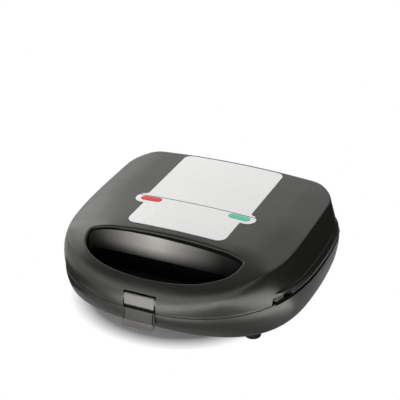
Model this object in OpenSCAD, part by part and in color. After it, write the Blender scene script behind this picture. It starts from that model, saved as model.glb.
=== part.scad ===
// Clamshell sandwich maker with swappable toast plates: housings, deck, plates, heaters, latch,
// lamps, feet and wiring. Front faces -Y, +X is the right-hand side, +Z is up.
// The origin is on the table under the middle of the appliance. Millimetres.

/* [Housing plan] */
// Half width at the widest line of the parting edge
body_half_width = 125; // [112:1:140]
// Half width lost towards the rear
rear_taper = 9; // [4:0.5:14]
// Y of the widest line
widest_y = 33; // [20:1:45]
// Distance from the middle to the front and to the rear of the parting edge
body_half_depth = 116.3; // [105:0.1:125]
// Exponent of the rounded front
front_exponent = 2.43; // [2:0.01:3.5]
// Radius of the rear corners
rear_corner_radius = 38; // [20:1:45]

/* [Heights] */
// Height of the parting plane above the table
parting_z = 44; // [40:0.5:50]
// Height of the middle of the lid's top
lid_top_z = 88.2; // [80:0.1:96]
// Drop of the sharp edge between lid side and lid top below the middle of the top
side_edge_drop = 9.7; // [7:0.1:14]
// Height of the base underside above the table
belly_z = 6; // [5:0.5:9]
// Half of the gap between lid and base
half_gap = 0.3; // [0.2:0.1:0.6]

/* [Housing walls] */
// Wall thickness of the lid
lid_wall = 3; // [2.5:0.1:4]
// Wall thickness of the base
base_wall = 2.6; // [2.2:0.1:4]
// Depth of the shadow gap along the lid sides
shadow_depth = 3; // [2:0.5:4]
// Height of the shadow gap along the lid sides
shadow_height = 2.4; // [1.5:0.1:3]

/* [Lid top] */
// Drop of the lid's crown at 100 mm from the middle
crown_drop = 5; // [3:0.5:7]
// Inward lean of the lid's sides between the parting edge and the top edge
side_lean = 14.2; // [11:0.2:20]
// Slope of the facets beside the flat top
facet_slope = 0.27; // [0.2:0.01:0.4]
// Distance from the front edge over which the top falls
fall_reach = 81.3; // [70:0.1:90]
// Curvature of that fall
fall_curve = 0.00336; // [0.002:0.0001:0.005]

/* [Grip opening] */
// Distance of the opening's tips from the housing's widest line
grip_side_margin = 47; // [40:1:55]
// Distance of the opening's tips from the front edge
grip_tip_reach = 55.3; // [50:0.1:60]
// Reach of the opening's rear edge behind the tips
grip_rear_reach = 17.5; // [14:0.5:20]
// Reach of the opening's front edge before the tips
grip_front_reach = 43.3; // [40:0.1:46]
// Thickness of the opening's own wall
grip_wall = 2.4; // [2:0.1:3]

/* [Trim panel] */
// Thickness of the steel sheet
panel_thickness = 0.8; // [0.5:0.1:1.2]
// Depth of the panel's seat in the lid
panel_seat = 0.5; // [0.3:0.1:0.8]
// Half width of the panel
panel_half_width = 54; // [50:0.5:58]
// Distance of the panel's front edge from the housing's front edge
panel_front_margin = 74.8; // [72:0.1:80]
// Distance of the panel's rear edge from the housing's rear edge
panel_rear_margin = 8.3; // [7:0.1:12]
// Corner radius of the panel
panel_corner = 7; // [4:0.5:10]
// Half width of the lamp ears
ear_half_width = 62.5; // [60:0.5:66]
// Radius of the lamp ears
ear_radius = 9.3; // [7:0.1:11]
// Y of the lamp windows
lamp_y = 7; // [4:0.5:10]
// X of each lamp window
lamp_x = 46; // [42:0.5:50]
// Length of a lamp window
lens_length = 22; // [18:0.5:26]
// Width of a lamp window
lens_width = 8.4; // [5:0.1:10]

/* [Latch] */
// Half width of the latch
latch_half_width = 16.2; // [12:0.1:20]
// Distance of the latch pivot behind the front edge
latch_pivot_inset = 5.7; // [4.5:0.1:8]
// Height of the latch pivot above the parting plane
latch_pivot_rise = 10.5; // [8:0.5:13]
// Radius of the latch pin
latch_pin_radius = 1.25; // [1:0.05:1.5]

/* [Hinge] */
// Distance of the hinge line behind the rear edge
hinge_overhang = 1.3; // [0.7:0.1:2]
// Radius of the hinge barrels
barrel_radius = 4.2; // [3.5:0.1:5]
// Radius of the hinge pins
hinge_pin_radius = 1.5; // [1.2:0.1:2]
// Distance of each hinge from the housing's rear corner
hinge_inset = 46; // [36:1:56]
// Length of the lid's barrel
lid_barrel_length = 11; // [8:0.5:16]
// Length of each base barrel
base_barrel_length = 6; // [4:0.5:8]

/* [Cooking plates] */
// Distance of the plates from the housing's widest line
plate_side_margin = 23; // [22:1:30]
// Distance of the plates from the housing's front edge
plate_front_margin = 79.3; // [77:0.1:90]
// Distance of the plates from the housing's rear edge
plate_rear_margin = 19.3; // [18:0.1:26]
// Thickness of the plate metal
plate_metal = 2.4; // [2:0.1:3.5]
// Depth of a toast pocket
pocket_depth = 10.5; // [8:0.5:13]
// Plate width left beside a pair of toast pockets
pocket_rim_x = 10; // [8:1:14]
// Plate depth left before and behind the toast pockets
pocket_rim_y = 14; // [12:1:20]

/* [Heating] */
// Radius of the heater tubes
heater_radius = 3.25; // [3:0.05:4]
// Distance of the heater loop from the plate's edges
heater_inset = 26; // [22:1:32]
// Bend radius of the heater tube
heater_bend = 16; // [12:1:22]
// Thickness of the reflector sheet
pan_sheet = 0.8; // [0.6:0.1:1.2]

/* [Feet] */
// Distance of the feet from the housing's widest line
foot_side_margin = 40.5; // [34:0.5:46]
// Distance of the front feet from the front edge
foot_front_margin = 66; // [58:0.5:72]
// Distance of the rear feet from the rear edge
foot_rear_margin = 34.3; // [28:0.1:42]
// Radius of a foot
foot_radius = 8; // [6:0.5:10]

/* [Hidden] */
// Circles are drawn fine enough to be rebuilt exactly
$fn = 64;
// Sides of the crown's large cylinder and of tubes in previews, and of the faceted wires
crown_fn = 1080;
tube_fn = 24;
wire_fn = 10;
// Steps and reach of a bend in a wire, and a direction that no wire follows
wire_steps = 5;
bend_reach = 8;
wire_side = [0.6, -0.5, 0.62];
// Small overlap that keeps cuts clean
eps = 0.01;
// Steps of a housing outline: round the front, along each side, round each rear corner and
// along the rear
front_steps = 40;
side_steps = 5;
corner_steps = 6;
rear_steps = 10;
// Running fit of pins, radial
pin_fit = 0.05;
// Clearance between parts that slide or lift out
slide_fit = 0.4;
// Distance of the middle of a base barrel from the middle of its hinge
base_barrel_offset = (lid_barrel_length + base_barrel_length) / 2 + slide_fit;
// Room round a hinge barrel in the other housing
barrel_gap = 0.5;
// The lid and base edges at the parting plane
lid_edge_z = parting_z + half_gap;
base_edge_z = parting_z - half_gap;
// Front and rear of the parting edge
front_y = -body_half_depth;
rear_y = body_half_depth;
rear_half_width = body_half_width - rear_taper;
// Half width and height of the lid's top edge
top_half_width = body_half_width - side_lean;
side_edge_z = lid_top_z - side_edge_drop;
// Y where the top starts to fall and where the front starts to bulge, and the bulge's reach
fall_start_y = front_y + fall_reach;
bulge_start_y = front_y + 96.3;
bulge_reach = 80;
// Y where the shadow gap starts on each side, and how far it takes to reach its depth
shadow_start_y = front_y + 58.3;
shadow_run = 6;
// Radius of the crown's cylinder and the height of its axis
crown_radius = 100 * 100 / (2 * crown_drop);
crown_axis_z = lid_top_z - crown_radius;
grip_half_width = body_half_width - grip_side_margin;
grip_tip_y = front_y + grip_tip_reach;
panel_front_y = front_y + panel_front_margin;
panel_rear_y = rear_y - panel_rear_margin;
latch_pivot_y = front_y + latch_pivot_inset;
latch_pivot_z = parting_z + latch_pivot_rise;
hinge_y = rear_y + hinge_overhang;
hinge_x = rear_half_width - hinge_inset;
// The plates between the sides, the grip and the hinges
plate_front_y = front_y + plate_front_margin;
plate_width = 2 * (body_half_width - plate_side_margin);
plate_depth = rear_y - plate_rear_margin - plate_front_y;
plate_y = plate_front_y + plate_depth / 2;
// Sides of a toast pocket
pocket_x = plate_width / 2 - pocket_rim_x;
pocket_y = plate_depth - pocket_rim_y;
heater_half_x = plate_width / 2 - heater_inset;
heater_half_y = plate_depth / 2 - heater_inset + 1;
foot_x = body_half_width - foot_side_margin;
foot_front_y = front_y + foot_front_margin;
foot_rear_y = rear_y - foot_rear_margin;

// ---------- outline and surface functions ----------

function spow(v, e) = sign(v) * pow(abs(v), e);
function smooth(v) = let (t = max(0, min(1, v))) t * t * (3 - 2 * t);
function smin(a, b, k) = let (h = max(k - abs(a - b), 0) / k) min(a, b) - h * h * k / 4;

// Half width of an outline behind its widest line
function side_x(o, y) = let (t = (y - widest_y) / (o[2] - widest_y)) o[0] - (o[0] - o[1]) * t * t;

// Outline o = [half width, rear half width, rear y, front y, exponent, rear corner radius],
// as points that run from the right side over the front to the left, the rear and back
function outline(o) =
  let (
    cy = o[2] - o[5],
    cx = side_x(o, cy) - o[5],
    front = [for (i = [0:front_steps]) let (a = 180 * i / front_steps)
      [o[0] * spow(cos(a), 2 / o[4]), widest_y - (widest_y - o[3]) * pow(abs(sin(a)), 2 / o[4])]],
    side = [for (i = [1:side_steps - 1]) let (y = widest_y + (cy - widest_y) * i / side_steps)
      [side_x(o, y), y]],
    corner = [for (i = [0:corner_steps]) let (a = 90 * i / corner_steps)
      [cx + o[5] * cos(a), cy + o[5] * sin(a)]],
    rear = [for (i = [1:rear_steps - 1]) [-cx + 2 * cx * i / rear_steps, o[2]]]
  )
  concat(
    front,
    [for (p = side) [-p[0], p[1]]],
    [for (p = corner) [-p[0], p[1]]],
    rear,
    [for (i = [corner_steps:-1:0]) corner[i]],
    [for (i = [len(side) - 1:-1:0]) side[i]]
  );

// Height of the lid's top surface
function crown_z(x) = crown_axis_z + sqrt(crown_radius * crown_radius - x * x);
function top_z(x, y) =
  crown_z(x) - fall_curve * pow(max(0, fall_start_y - y), 2)
  - 0.08 * pow(max(0, y - panel_rear_y - 1), 2);
function lid_z(x, y) =
  smin(top_z(x, y), side_edge_z + facet_slope * (top_half_width - 1 - abs(x)), 2);

// Outlines of the parting edge and of the lid's top edge, both moved in by g
function parting_outline(g) = [
  body_half_width - g, rear_half_width - g, rear_y - g, front_y + g, front_exponent,
  rear_corner_radius - g
];
function edge_outline(g) = [
  top_half_width - g, top_half_width - 1 - g, rear_y - 1.8 - g, front_y + 12.3 + g, 3.4,
  rear_corner_radius - 6 - g
];
function mix(a, b, t) = a * (1 - t) + b * t;

// Front profile of the lid: share of the inset and of the height at parameter t
function bulge_in(t) = 0.854 * t * t * (1 - t) + t * t * t;
function bulge_up(t) = 1.5 * t * (1 - t) * (1 - t) + 2.56 * t * t * (1 - t) + t * t * t;

// One ring of the lid's wall, t = 0 at the parting plane and 1 at the top edge
function wall_ring(t, g) =
  let (
    lo = parting_outline(g),
    hi = edge_outline(g),
    o = [mix(lo[0], hi[0], t), mix(lo[1], hi[1], t), mix(lo[2], hi[2], t),
      mix(lo[3], hi[3], bulge_in(t)), mix(lo[4], hi[4], t), mix(lo[5], hi[5], t)],
    ring = outline(o),
    top = outline(hi)
  )
  [for (i = [0:len(ring) - 1]) let (
      p = ring[i], q = top[i],
      f = smooth((bulge_start_y - p[1]) / bulge_reach),
      up = (1 - f) * t + f * bulge_up(t))
    [p[0], p[1], parting_z + (lid_z(q[0], q[1]) - g - parting_z) * up]];

// A ring on the lid's top, inside the edge by i at the sides, f at the front and r at the rear
function top_ring(i, f, r, g) =
  let (e = edge_outline(g),
    o = [e[0] - i, e[1] - i, e[2] - r, e[3] + f, mix(3.4, 2.6, min(1, i / 60)),
      max(6, e[5] - i * 0.35)])
  [for (p = outline(o)) [p[0], p[1], lid_z(p[0], p[1]) - g]];

// The lid's lowest rings, drawn in by d at the sides and rear to leave the shadow gap
function foot_ring(z, d) =
  let (
    full = outline(parting_outline(0)),
    small = outline([body_half_width - d, rear_half_width - d, rear_y - d, front_y, front_exponent,
      rear_corner_radius - d])
  )
  [for (i = [0:len(full) - 1]) let (f = smooth((full[i][1] - shadow_start_y) / shadow_run))
    [mix(full[i][0], small[i][0], f), mix(full[i][1], small[i][1], f), z]];

function flat_ring(o, z) = [for (p = outline(o)) [p[0], p[1], z]];

// Closed solid through stacked rings of equal point count, clockwise from above
module loft(rings, peak = []) {
  n = len(rings[0]);
  m = len(rings);
  last = [for (j = [0:n - 1]) (m - 1) * n + j];
  polyhedron(
    points = concat([for (r = rings) each r], peak),
    faces = concat(
      [[for (j = [n - 1:-1:0]) j]],
      [for (k = [0:m - 2], j = [0:n - 1]) [k * n + j, k * n + (j + 1) % n, (k + 1) * n + (j + 1) % n]],
      [for (k = [0:m - 2], j = [0:n - 1]) [k * n + j, (k + 1) * n + (j + 1) % n, (k + 1) * n + j]],
      len(peak) == 0 ? [last] : [for (j = [0:n - 1]) [last[j], last[(j + 1) % n], m * n]]
    )
  );
}

// ---------- small helpers ----------

module rounded_rect(w, d, r) {
  square([w - 2 * r, d], center = true);
  square([w, d - 2 * r], center = true);
  for (sx = [-1, 1], sy = [-1, 1]) translate([sx * (w / 2 - r), sy * (d / 2 - r)]) circle(r);
}

module pill(w, d) {
  square([w - d, d], center = true);
  for (s = [-1, 1]) translate([s * (w - d) / 2, 0]) circle(d / 2);
}

module rod_x(r, x0, x1) {
  translate([x0, 0, 0]) rotate([0, 90, 0]) cylinder(r = r, h = x1 - x0);
}

module rod_y(r, y0, y1) {
  translate([0, y1, 0]) rotate([90, 0, 0]) cylinder(r = r, h = y1 - y0);
}

// Route through points with each bend rounded over bend_reach
function wire_path(p) = concat([p[0]],
  [for (i = [1:len(p) - 2], s = [0:wire_steps]) let (
      t = s / wire_steps,
      u = p[i - 1] - p[i],
      w = p[i + 1] - p[i],
      from = p[i] + u * min(bend_reach / norm(u), 0.45),
      to = p[i] + w * min(bend_reach / norm(w), 0.45))
    from * (1 - t) * (1 - t) + p[i] * 2 * t * (1 - t) + to * t * t],
  [p[len(p) - 1]]);

// Insulated wire of radius r along a route
module wire(points, r) {
  p = wire_path(points);
  n = len(p) - 1;
  loft([for (k = [0:n]) let (
      d = p[min(n, k + 1)] - p[max(0, k - 1)],
      c = cross(d, wire_side),
      a = c / norm(c),
      b = cross(d, a) / norm(d))
    [for (j = [0:wire_fn - 1]) p[k] + r * (cos(360 * j / wire_fn) * a - sin(360 * j / wire_fn) * b)]]);
}

// Children are drawn with z = 0 in the parting plane and +z into the housing
module in_lid() { translate([0, 0, parting_z]) children(); }
module in_base() { translate([0, 0, parting_z]) mirror([0, 0, 1]) children(); }

// ---------- positions shared by several pieces ----------

// Half width of the latch's room in both housings and of the block round it
latch_gap_x = latch_half_width + 0.6;
latch_block_x = latch_half_width + 4.3;
latch_pin_half = latch_half_width + 3.3;
// Radius of the heads of the hinge pins
pin_head_radius = 2.4;
screw_radius = 1.5;
screw_bore = screw_radius + pin_fit;
boss_radius = 4;
// Frame screws, the same places in lid and base
screw_front = [plate_width / 2 - 4, plate_front_y - 17];
screw_rear = [rear_half_width - 28, rear_y - 11.1];
frame_screws = [screw_front, [-screw_front[0], screw_front[1]], screw_rear, [-screw_rear[0], screw_rear[1]]];
feet = [[-foot_x, foot_front_y], [foot_x, foot_front_y], [-foot_x, foot_rear_y], [foot_x, foot_rear_y]];
// Levels from the parting plane into either housing
frame_lo = 0.8;
frame_hi = 3.2;
pan_flange_hi = frame_hi + pan_sheet;
pan_floor = 23.6;
plate_face = 0.15;
slab_back = plate_face + plate_metal;
heater_level = plate_face + pocket_depth + plate_metal + 0.15 + heater_radius;
pan_width = plate_width + 1.6;
pan_depth = plate_depth + 1.6;
// Plate lugs at the sides, held by the release slide on one side
lug_y = [plate_y - 25, plate_y + 25];
lug_width = 5;
lug_lo = 4.6;
lug_hi = 6.2;
release_travel = 5.5;
// Locating tabs on the long edges of a plate
tab_x = 30;
// Release slide bar
slide_x0 = plate_width / 2 + 4.8;
slide_x1 = slide_x0 + 2.6;
slide_front_y = plate_front_y - 10;
slide_rear_y = plate_y + 32;
// Hinge conduit
conduit_y = rear_y - 10.8;
conduit_radius = 3;
// Y inside the lid's and the base's rear wall where the barrels' arms start
lid_arm_y = rear_y - 3.9;
base_arm_y = rear_y - 2.5;
// Heater terminals
terminal_x = 12;
terminal_bend = 8;
terminal_top = 27;
heater_rear_y = plate_y + heater_half_y;
// Slot of the release grip: inner end, front end and length in either housing's edge
grip_slot_x = slide_x0 - 3.8;
grip_slot_y = slide_front_y - 13.5;
grip_slot_length = 24.5;
// Cord gland
gland_x = -40;
gland_z = 22;
gland_bore = 3.2;
// Lamp carrier bosses, its top face and the axis of the lamps on it
carrier_x = 22;
carrier_z = lid_top_z - 11.7;
neon_z = carrier_z + 2.7;
lens_tilt = asin(lamp_x / crown_radius);

// ---------- lid ----------

lid_outer_rings = concat(
  [foot_ring(lid_edge_z, shadow_depth), foot_ring(parting_z + shadow_height, shadow_depth)],
  [for (t = [0.08, 0.22, 0.38, 0.54, 0.7, 0.84, 0.94, 1]) wall_ring(t, 0)],
  [top_ring(1.5, 1.5, 1.2, 0), top_ring(6, 6, 3, 0), top_ring(13, 14, 5, 0), top_ring(19, 22, 7, 0),
    top_ring(24, 32, 10, 0), top_ring(40, 46, 22, 0), top_ring(62, 64, 40, 0),
    top_ring(88, 84, 56, 0)]
);
lid_inner_rings = concat(
  [flat_ring(parting_outline(shadow_depth + lid_wall - 0.4), parting_z - 2),
    flat_ring(parting_outline(shadow_depth + lid_wall - 0.4), parting_z + 3.4)],
  [for (t = [0.22, 0.45, 0.7, 0.9, 0.97]) wall_ring(t, lid_wall)],
  [top_ring(6, 6, 4, lid_wall), top_ring(19, 22, 8, lid_wall), top_ring(40, 46, 22, lid_wall),
    top_ring(70, 70, 46, lid_wall)]
);

// Outline of the grip opening, moved out by g, with its rear edge drawn in by s
function grip_outline(g, s) = [for (i = [0:47]) let (
    a = -7.5 * i,
    rear = sin(a) >= 0,
    e = rear ? 2.25 : 1.7,
    b = rear ? grip_rear_reach - s : grip_front_reach
  ) [(grip_half_width + g) * spow(cos(a), 2 / e), grip_tip_y + (b + g) * spow(sin(a), 2 / e)]];
function grip_ring(g, s, z) = [for (p = grip_outline(g, s)) [p[0], p[1], z]];

module grip_volume(g) {
  loft([grip_ring(g, 5.5, parting_z - 4), grip_ring(g, 5.5, 60), grip_ring(g, -1.2, 92)]);
}

module crown_frame(tilt) {
  translate([0, 0, crown_axis_z]) rotate([0, tilt, 0]) translate([0, 0, crown_radius]) children();
}

module panel_outline(g) {
  translate([0, (panel_front_y + panel_rear_y) / 2])
    rounded_rect(2 * panel_half_width + 2 * g, panel_rear_y - panel_front_y + 2 * g, panel_corner + g);
  translate([0, lamp_y + 0.6]) pill(2 * ear_half_width + 2 * g, 2 * ear_radius + 2 * g);
}

// Slice of the crown between two heights from its surface, cut to the panel's outline
module panel_slice(lo, hi, g) {
  intersection() {
    translate([0, 0, lid_top_z - 12]) linear_extrude(20) panel_outline(g);
    difference() {
      translate([0, 0, crown_axis_z]) rod_y(crown_radius + hi, -80, 140, $fn = crown_fn);
      translate([0, 0, crown_axis_z]) rod_y(crown_radius + lo, -90, 150, $fn = crown_fn);
    }
  }
}

module lamp_windows(g) {
  for (s = [-1, 1])
    crown_frame(s * lens_tilt) translate([0, lamp_y, -8])
      linear_extrude(16) pill(lens_length + g, lens_width + g);
}

module latch_bore() {
  translate([0, latch_pivot_y, latch_pivot_z])
    rod_x(latch_pin_radius + 0.02, -latch_pin_half - 0.2, latch_pin_half + 0.2);
}

module lid_shell() color([0.30, 0.30, 0.28]) {
  difference() {
    loft(lid_outer_rings, [[0, 40, lid_z(0, 40)]]);
    difference() {
      loft(lid_inner_rings, [[0, 40, lid_z(0, 40) - lid_wall]]);
      grip_volume(grip_wall);
      // Latch block
      translate([-latch_block_x, front_y + 0.3, parting_z - 3]) cube([2 * latch_block_x, 11.4, 22]);
      // Frame and carrier bosses
      for (p = frame_screws)
        translate([p[0], p[1], parting_z + frame_hi]) cylinder(r = boss_radius, h = 60);
      for (s = [-1, 1]) translate([s * carrier_x, lamp_y, carrier_z]) cylinder(r = 3.2, h = 20);
      // Hinge blocks
      for (s = [-1, 1])
        translate([s * hinge_x - 14, rear_y - 9.3, parting_z + frame_hi]) cube([28, 8, 9]);
    }
    grip_volume(0);
    panel_slice(-panel_seat, 4, 0.25);
    lamp_windows(0.5);
    // Latch pocket
    translate([-latch_gap_x, front_y - 13.7, parting_z - 4]) cube([2 * latch_gap_x, 22.8, 21]);
    latch_bore();
    // Screw bores
    for (p = frame_screws) translate([p[0], p[1], parting_z]) cylinder(r = screw_bore, h = 16);
    for (s = [-1, 1]) translate([s * carrier_x, lamp_y, carrier_z - 1]) cylinder(r = screw_bore, h = 6);
    // Room for the base barrels of the hinge
    for (s = [-1, 1], d = [-1, 1])
      translate([0, hinge_y, parting_z])
        rod_x(barrel_radius + barrel_gap, s * hinge_x + d * base_barrel_offset - 3.6,
          s * hinge_x + d * base_barrel_offset + 3.6);
    // Slot of the release grip
    translate([grip_slot_x, grip_slot_y, lid_edge_z - 1]) cube([14, grip_slot_length, 7.8]);
  }
  // Lid barrels
  for (s = [-1, 1]) difference() {
    union() {
      translate([0, hinge_y, parting_z])
        rod_x(barrel_radius, s * hinge_x - lid_barrel_length / 2, s * hinge_x + lid_barrel_length / 2);
      translate([s * hinge_x - lid_barrel_length / 2, lid_arm_y, parting_z + 1])
        cube([lid_barrel_length, hinge_y - lid_arm_y, 9]);
    }
    translate([0, hinge_y, parting_z]) rod_x(hinge_pin_radius + pin_fit, s * hinge_x - 20, s * hinge_x + 20);
  }
}

// Flat inner frame of a housing, with the plate's window
module frame_plate(inset) {
  difference() {
    translate([0, 0, frame_lo]) linear_extrude(frame_hi - frame_lo) difference() {
      polygon(outline(parting_outline(inset)));
      translate([0, plate_y]) rounded_rect(plate_width + 2 * slide_fit, plate_depth + 2 * slide_fit, 8.4);
      for (s = [-1, 1], t = [-1, 1])
        translate([s * tab_x, plate_y + t * plate_depth / 2]) square([11, 5], center = true);
      for (y = lug_y) translate([plate_width / 2 + 2, y]) square([5.4, lug_width + 1.8], center = true);
      translate([0, conduit_y]) circle(conduit_radius + 1);
      // Room for the release grip over its travel
      translate([grip_slot_x, grip_slot_y]) square([14, grip_slot_length - 3]);
    }
    for (p = frame_screws) translate([p[0], p[1], 0]) {
      cylinder(r = screw_radius + 0.2, h = 10);
      cylinder(r = 3.3, h = frame_lo + 1.4);
    }
  }
}

module lid_frame() color([0.12, 0.12, 0.12]) in_lid() {
  difference() {
    frame_plate(shadow_depth + lid_wall);
    translate([0, 0, -parting_z]) grip_volume(grip_wall + 0.3);
    // Room for the latch block
    translate([-latch_block_x - 0.5, front_y - 8.7, -5]) cube([2 * latch_block_x + 1, 21, 20]);
  }
  spring_stop();
}

// Screw with a flat head, head towards -z
module screw(length, head_r) {
  cylinder(r = head_r, h = 1.2);
  translate([0, 0, 1.2 - eps]) cylinder(r = screw_radius, h = length);
}

module lid_screws() color([0.7, 0.7, 0.7]) {
  for (p = frame_screws) translate([p[0], p[1], parting_z + frame_lo + 0.2]) screw(12, 2.8);
  for (s = [-1, 1]) translate([s * carrier_x, lamp_y, carrier_z - 3.2]) screw(6.5, 2.8);
}

// ---------- cooking plates, pans and heaters (drawn for either housing) ----------

// Rounded right triangle with legs a and b, drawn in by d
function tri_ring(a, b, d, z) =
  let (
    c = norm([a, b]),
    r = (a + b - c) / 2,
    k = 1 - d / r,
    v = [for (p = [[0, 0], [0, b], [a, 0]]) [r + k * (p[0] - r), r + k * (p[1] - r)]],
    q = 9 * k
  )
  [for (i = [0:2], s = [0:4]) let (
      t = s / 4,
      u = v[(i + 2) % 3] - v[i],
      w = v[(i + 1) % 3] - v[i],
      from = v[i] + u * q / norm(u),
      to = v[i] + w * q / norm(w),
      p = from * (1 - t) * (1 - t) + v[i] * 2 * t * (1 - t) + to * t * t)
    [p[0], p[1], z]];

module toast_pit(g) {
  a = pocket_x - 9;
  b = pocket_y - 9;
  far = plate_face + pocket_depth + g;
  loft([tri_ring(a, b, -g, plate_face - 1 + 1.4 * g), tri_ring(a, b, 7 - g, far * 0.72),
    tri_ring(a, b, 20 - g, far)]);
}

// The four toast pockets, two triangles in each half
module toast_pits(g) {
  for (s = [0, 1], t = [0, 180])
    mirror([s, 0, 0]) translate([plate_width / 4, plate_y, 0]) rotate([0, 0, t])
      translate([-pocket_x / 2 + 1, -pocket_y / 2 + 1, 0]) toast_pit(g);
}

module cooking_plate() {
  difference() {
    union() {
      difference() {
        translate([0, plate_y, plate_face]) linear_extrude(5.35) rounded_rect(plate_width, plate_depth, 8);
        translate([0, plate_y, slab_back]) linear_extrude(10)
          rounded_rect(plate_width - 4.8, plate_depth - 4.8, 5.6);
      }
      toast_pits(plate_metal);
      for (y = lug_y, s = [-1, 1])
        translate([s * (plate_width / 2 + 0.8) - 2.9, y - lug_width / 2, lug_lo])
          cube([5.8, lug_width, lug_hi - lug_lo]);
      for (s = [-1, 1], t = [-1, 1])
        translate([s * tab_x - 5, plate_y + t * plate_depth / 2 - 1.8, plate_face]) cube([10, 3.6, 1.6]);
    }
    toast_pits(0);
    // Drip groove
    translate([0, plate_y, plate_face - 1]) linear_extrude(1.8) difference() {
      rounded_rect(plate_width - 3.4, plate_depth - 3.4, 6.3);
      rounded_rect(plate_width - 6.4, plate_depth - 6.4, 4.8);
    }
  }
}

// Sheet steel reflector pan
module reflector_pan() {
  difference() {
    union() {
      translate([0, plate_y, frame_hi]) linear_extrude(pan_sheet)
        rounded_rect(pan_width + 6.4, pan_depth + 5, 9);
      translate([0, plate_y, frame_hi]) linear_extrude(pan_floor + pan_sheet - frame_hi)
        rounded_rect(pan_width + 2 * pan_sheet, pan_depth + 2 * pan_sheet, 8.8 + pan_sheet);
    }
    translate([0, plate_y, frame_hi - 1]) linear_extrude(pan_floor - frame_hi + 1)
      rounded_rect(pan_width, pan_depth, 8.8);
    // Room for the lugs and the slide's tongues on the release side, for the lugs on the other side
    for (y = lug_y) {
      translate([plate_width / 2, y - 3.4, frame_hi - 1]) cube([6, 12.6, 5.4]);
      translate([-plate_width / 2 - 4, y - 3.4, pan_flange_hi]) cube([5, 6.8, 3.2]);
    }
    // Heater terminals and thermostat
    for (s = [-1, 1]) translate([s * terminal_x, heater_rear_y, pan_floor - 1]) cylinder(r = 3.8, h = 4);
    translate([0, plate_y, pan_floor - 1]) cylinder(r = 5, h = 4);
  }
  // Rests under the heater and under the plate
  for (s = [-1, 1], t = [-1, 1]) {
    translate([s * heater_half_x - 2, plate_y + t * 20 - 4, heater_level + heater_radius])
      cube([4, 8, pan_floor - heater_level - heater_radius + eps]);
    translate([s * (pan_width / 2 - 3) - 3, plate_y + t * 52 - 4, 5.5]) cube([6, 8, pan_sheet]);
  }
}

// Tubular heater: a loop with its two ends bent down through the pan
module heater() {
  $fn = tube_fn;
  r = heater_radius;
  x = heater_half_x - heater_bend;
  y = heater_half_y - heater_bend;
  translate([0, plate_y, heater_level]) {
    for (sx = [-1, 1]) {
      translate([sx * heater_half_x, 0, 0]) rod_y(r, -y, y);
      for (sy = [-1, 1]) translate([sx * x, sy * y, 0])
        rotate([0, 0, sx > 0 ? (sy > 0 ? 0 : 270) : (sy > 0 ? 90 : 180)])
          rotate_extrude(angle = 90) translate([heater_bend, 0]) circle(r);
      translate([0, heater_half_y, 0]) rod_x(r, sx > 0 ? terminal_x + terminal_bend : -x,
        sx > 0 ? x : -terminal_x - terminal_bend);
      translate([sx * (terminal_x + terminal_bend), heater_half_y, terminal_bend])
        rotate([90, 0, 0]) rotate([0, 0, sx > 0 ? 180 : 270])
          rotate_extrude(angle = 90) translate([terminal_bend, 0]) circle(r);
      translate([sx * terminal_x, heater_half_y, terminal_bend]) {
        cylinder(r = r, h = terminal_top - heater_level - terminal_bend);
        translate([0, 0, terminal_top - heater_level - terminal_bend - 0.5]) cylinder(r = 1.2, h = 4.5);
      }
    }
    translate([0, -heater_half_y, 0]) rod_x(r, -x, x);
  }
}

// Release slide on the +X side: a bar with two tongues over the plate's lugs and a ribbed grip,
// whose ribs step out with the curve of the housing
module release_slide() {
  translate([slide_x0, slide_front_y, frame_hi + 0.15])
    cube([slide_x1 - slide_x0, slide_rear_y - slide_front_y, 3.4]);
  for (y = lug_y) translate([plate_width / 2 + 1.8, y - lug_width / 2, frame_hi + 0.15])
    cube([slide_x0 - plate_width / 2 - 1.7, lug_width, 1.05]);
  translate([slide_x0 - 2.4, slide_front_y - 8, 1.6]) cube([4, 9.5, 5]);
  for (i = [0:3])
    translate([slide_x0 + 1.6 - eps, slide_front_y - 7.6 + 2.5 * i, 1.6]) cube([0.8 * (i + 1), 1.2, 5]);
}

// Folded strip spring behind the slide, from its end to a stop on the frame
module release_spring() {
  folds = 6;
  step = 2;
  strip = 0.5;
  width = 3.4;
  translate([(slide_x0 + slide_x1 - width) / 2, slide_rear_y + 0.1, frame_hi + 0.4]) {
    for (i = [0:folds]) translate([0, i * step, 0]) cube([width, strip, 2.8]);
    for (i = [0:folds - 1]) translate([i % 2 == 0 ? width - strip : 0, i * step, 0])
      cube([strip, step + strip, 2.8]);
  }
}

// Stop block of the spring, part of each frame
module spring_stop() {
  translate([slide_x0 - 0.5, slide_rear_y + 13, frame_hi - eps]) cube([slide_x1 - slide_x0 + 1.5, 3, 4]);
}

module base_side() { mirror([1, 0, 0]) in_base() children(); }

module lid_reflector() color([0.78, 0.78, 0.8]) in_lid() reflector_pan();
module lid_heater() color([0.35, 0.33, 0.32]) in_lid() heater();
module upper_plate() color([0.13, 0.13, 0.13]) in_lid() cooking_plate();
module lid_release_slide() color([0.3, 0.3, 0.28]) in_lid() release_slide();
module lid_release_spring() color([0.7, 0.7, 0.72]) in_lid() release_spring();

module trim_panel() color([0.9, 0.9, 0.89]) difference() {
  panel_slice(-panel_seat, panel_thickness - panel_seat, 0);
  lamp_windows(0.3);
  // Engraved line behind the lamps
  difference() {
    translate([-ear_half_width + 1, 12.1, lid_top_z - 8]) cube([2 * ear_half_width - 2, 0.8, 16]);
    translate([0, 0, crown_axis_z])
      rod_y(crown_radius + panel_thickness - panel_seat - 0.3, 0, 40, $fn = crown_fn);
  }
}

module lens(s) {
  crown_frame(s * lens_tilt) translate([0, lamp_y, 0]) {
    translate([0, 0, -4]) linear_extrude(4.6) pill(lens_length, lens_width);
    translate([0, 0, -4.4]) linear_extrude(1.2) pill(lens_length + 3.6, lens_width + 3.6);
  }
}

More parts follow.
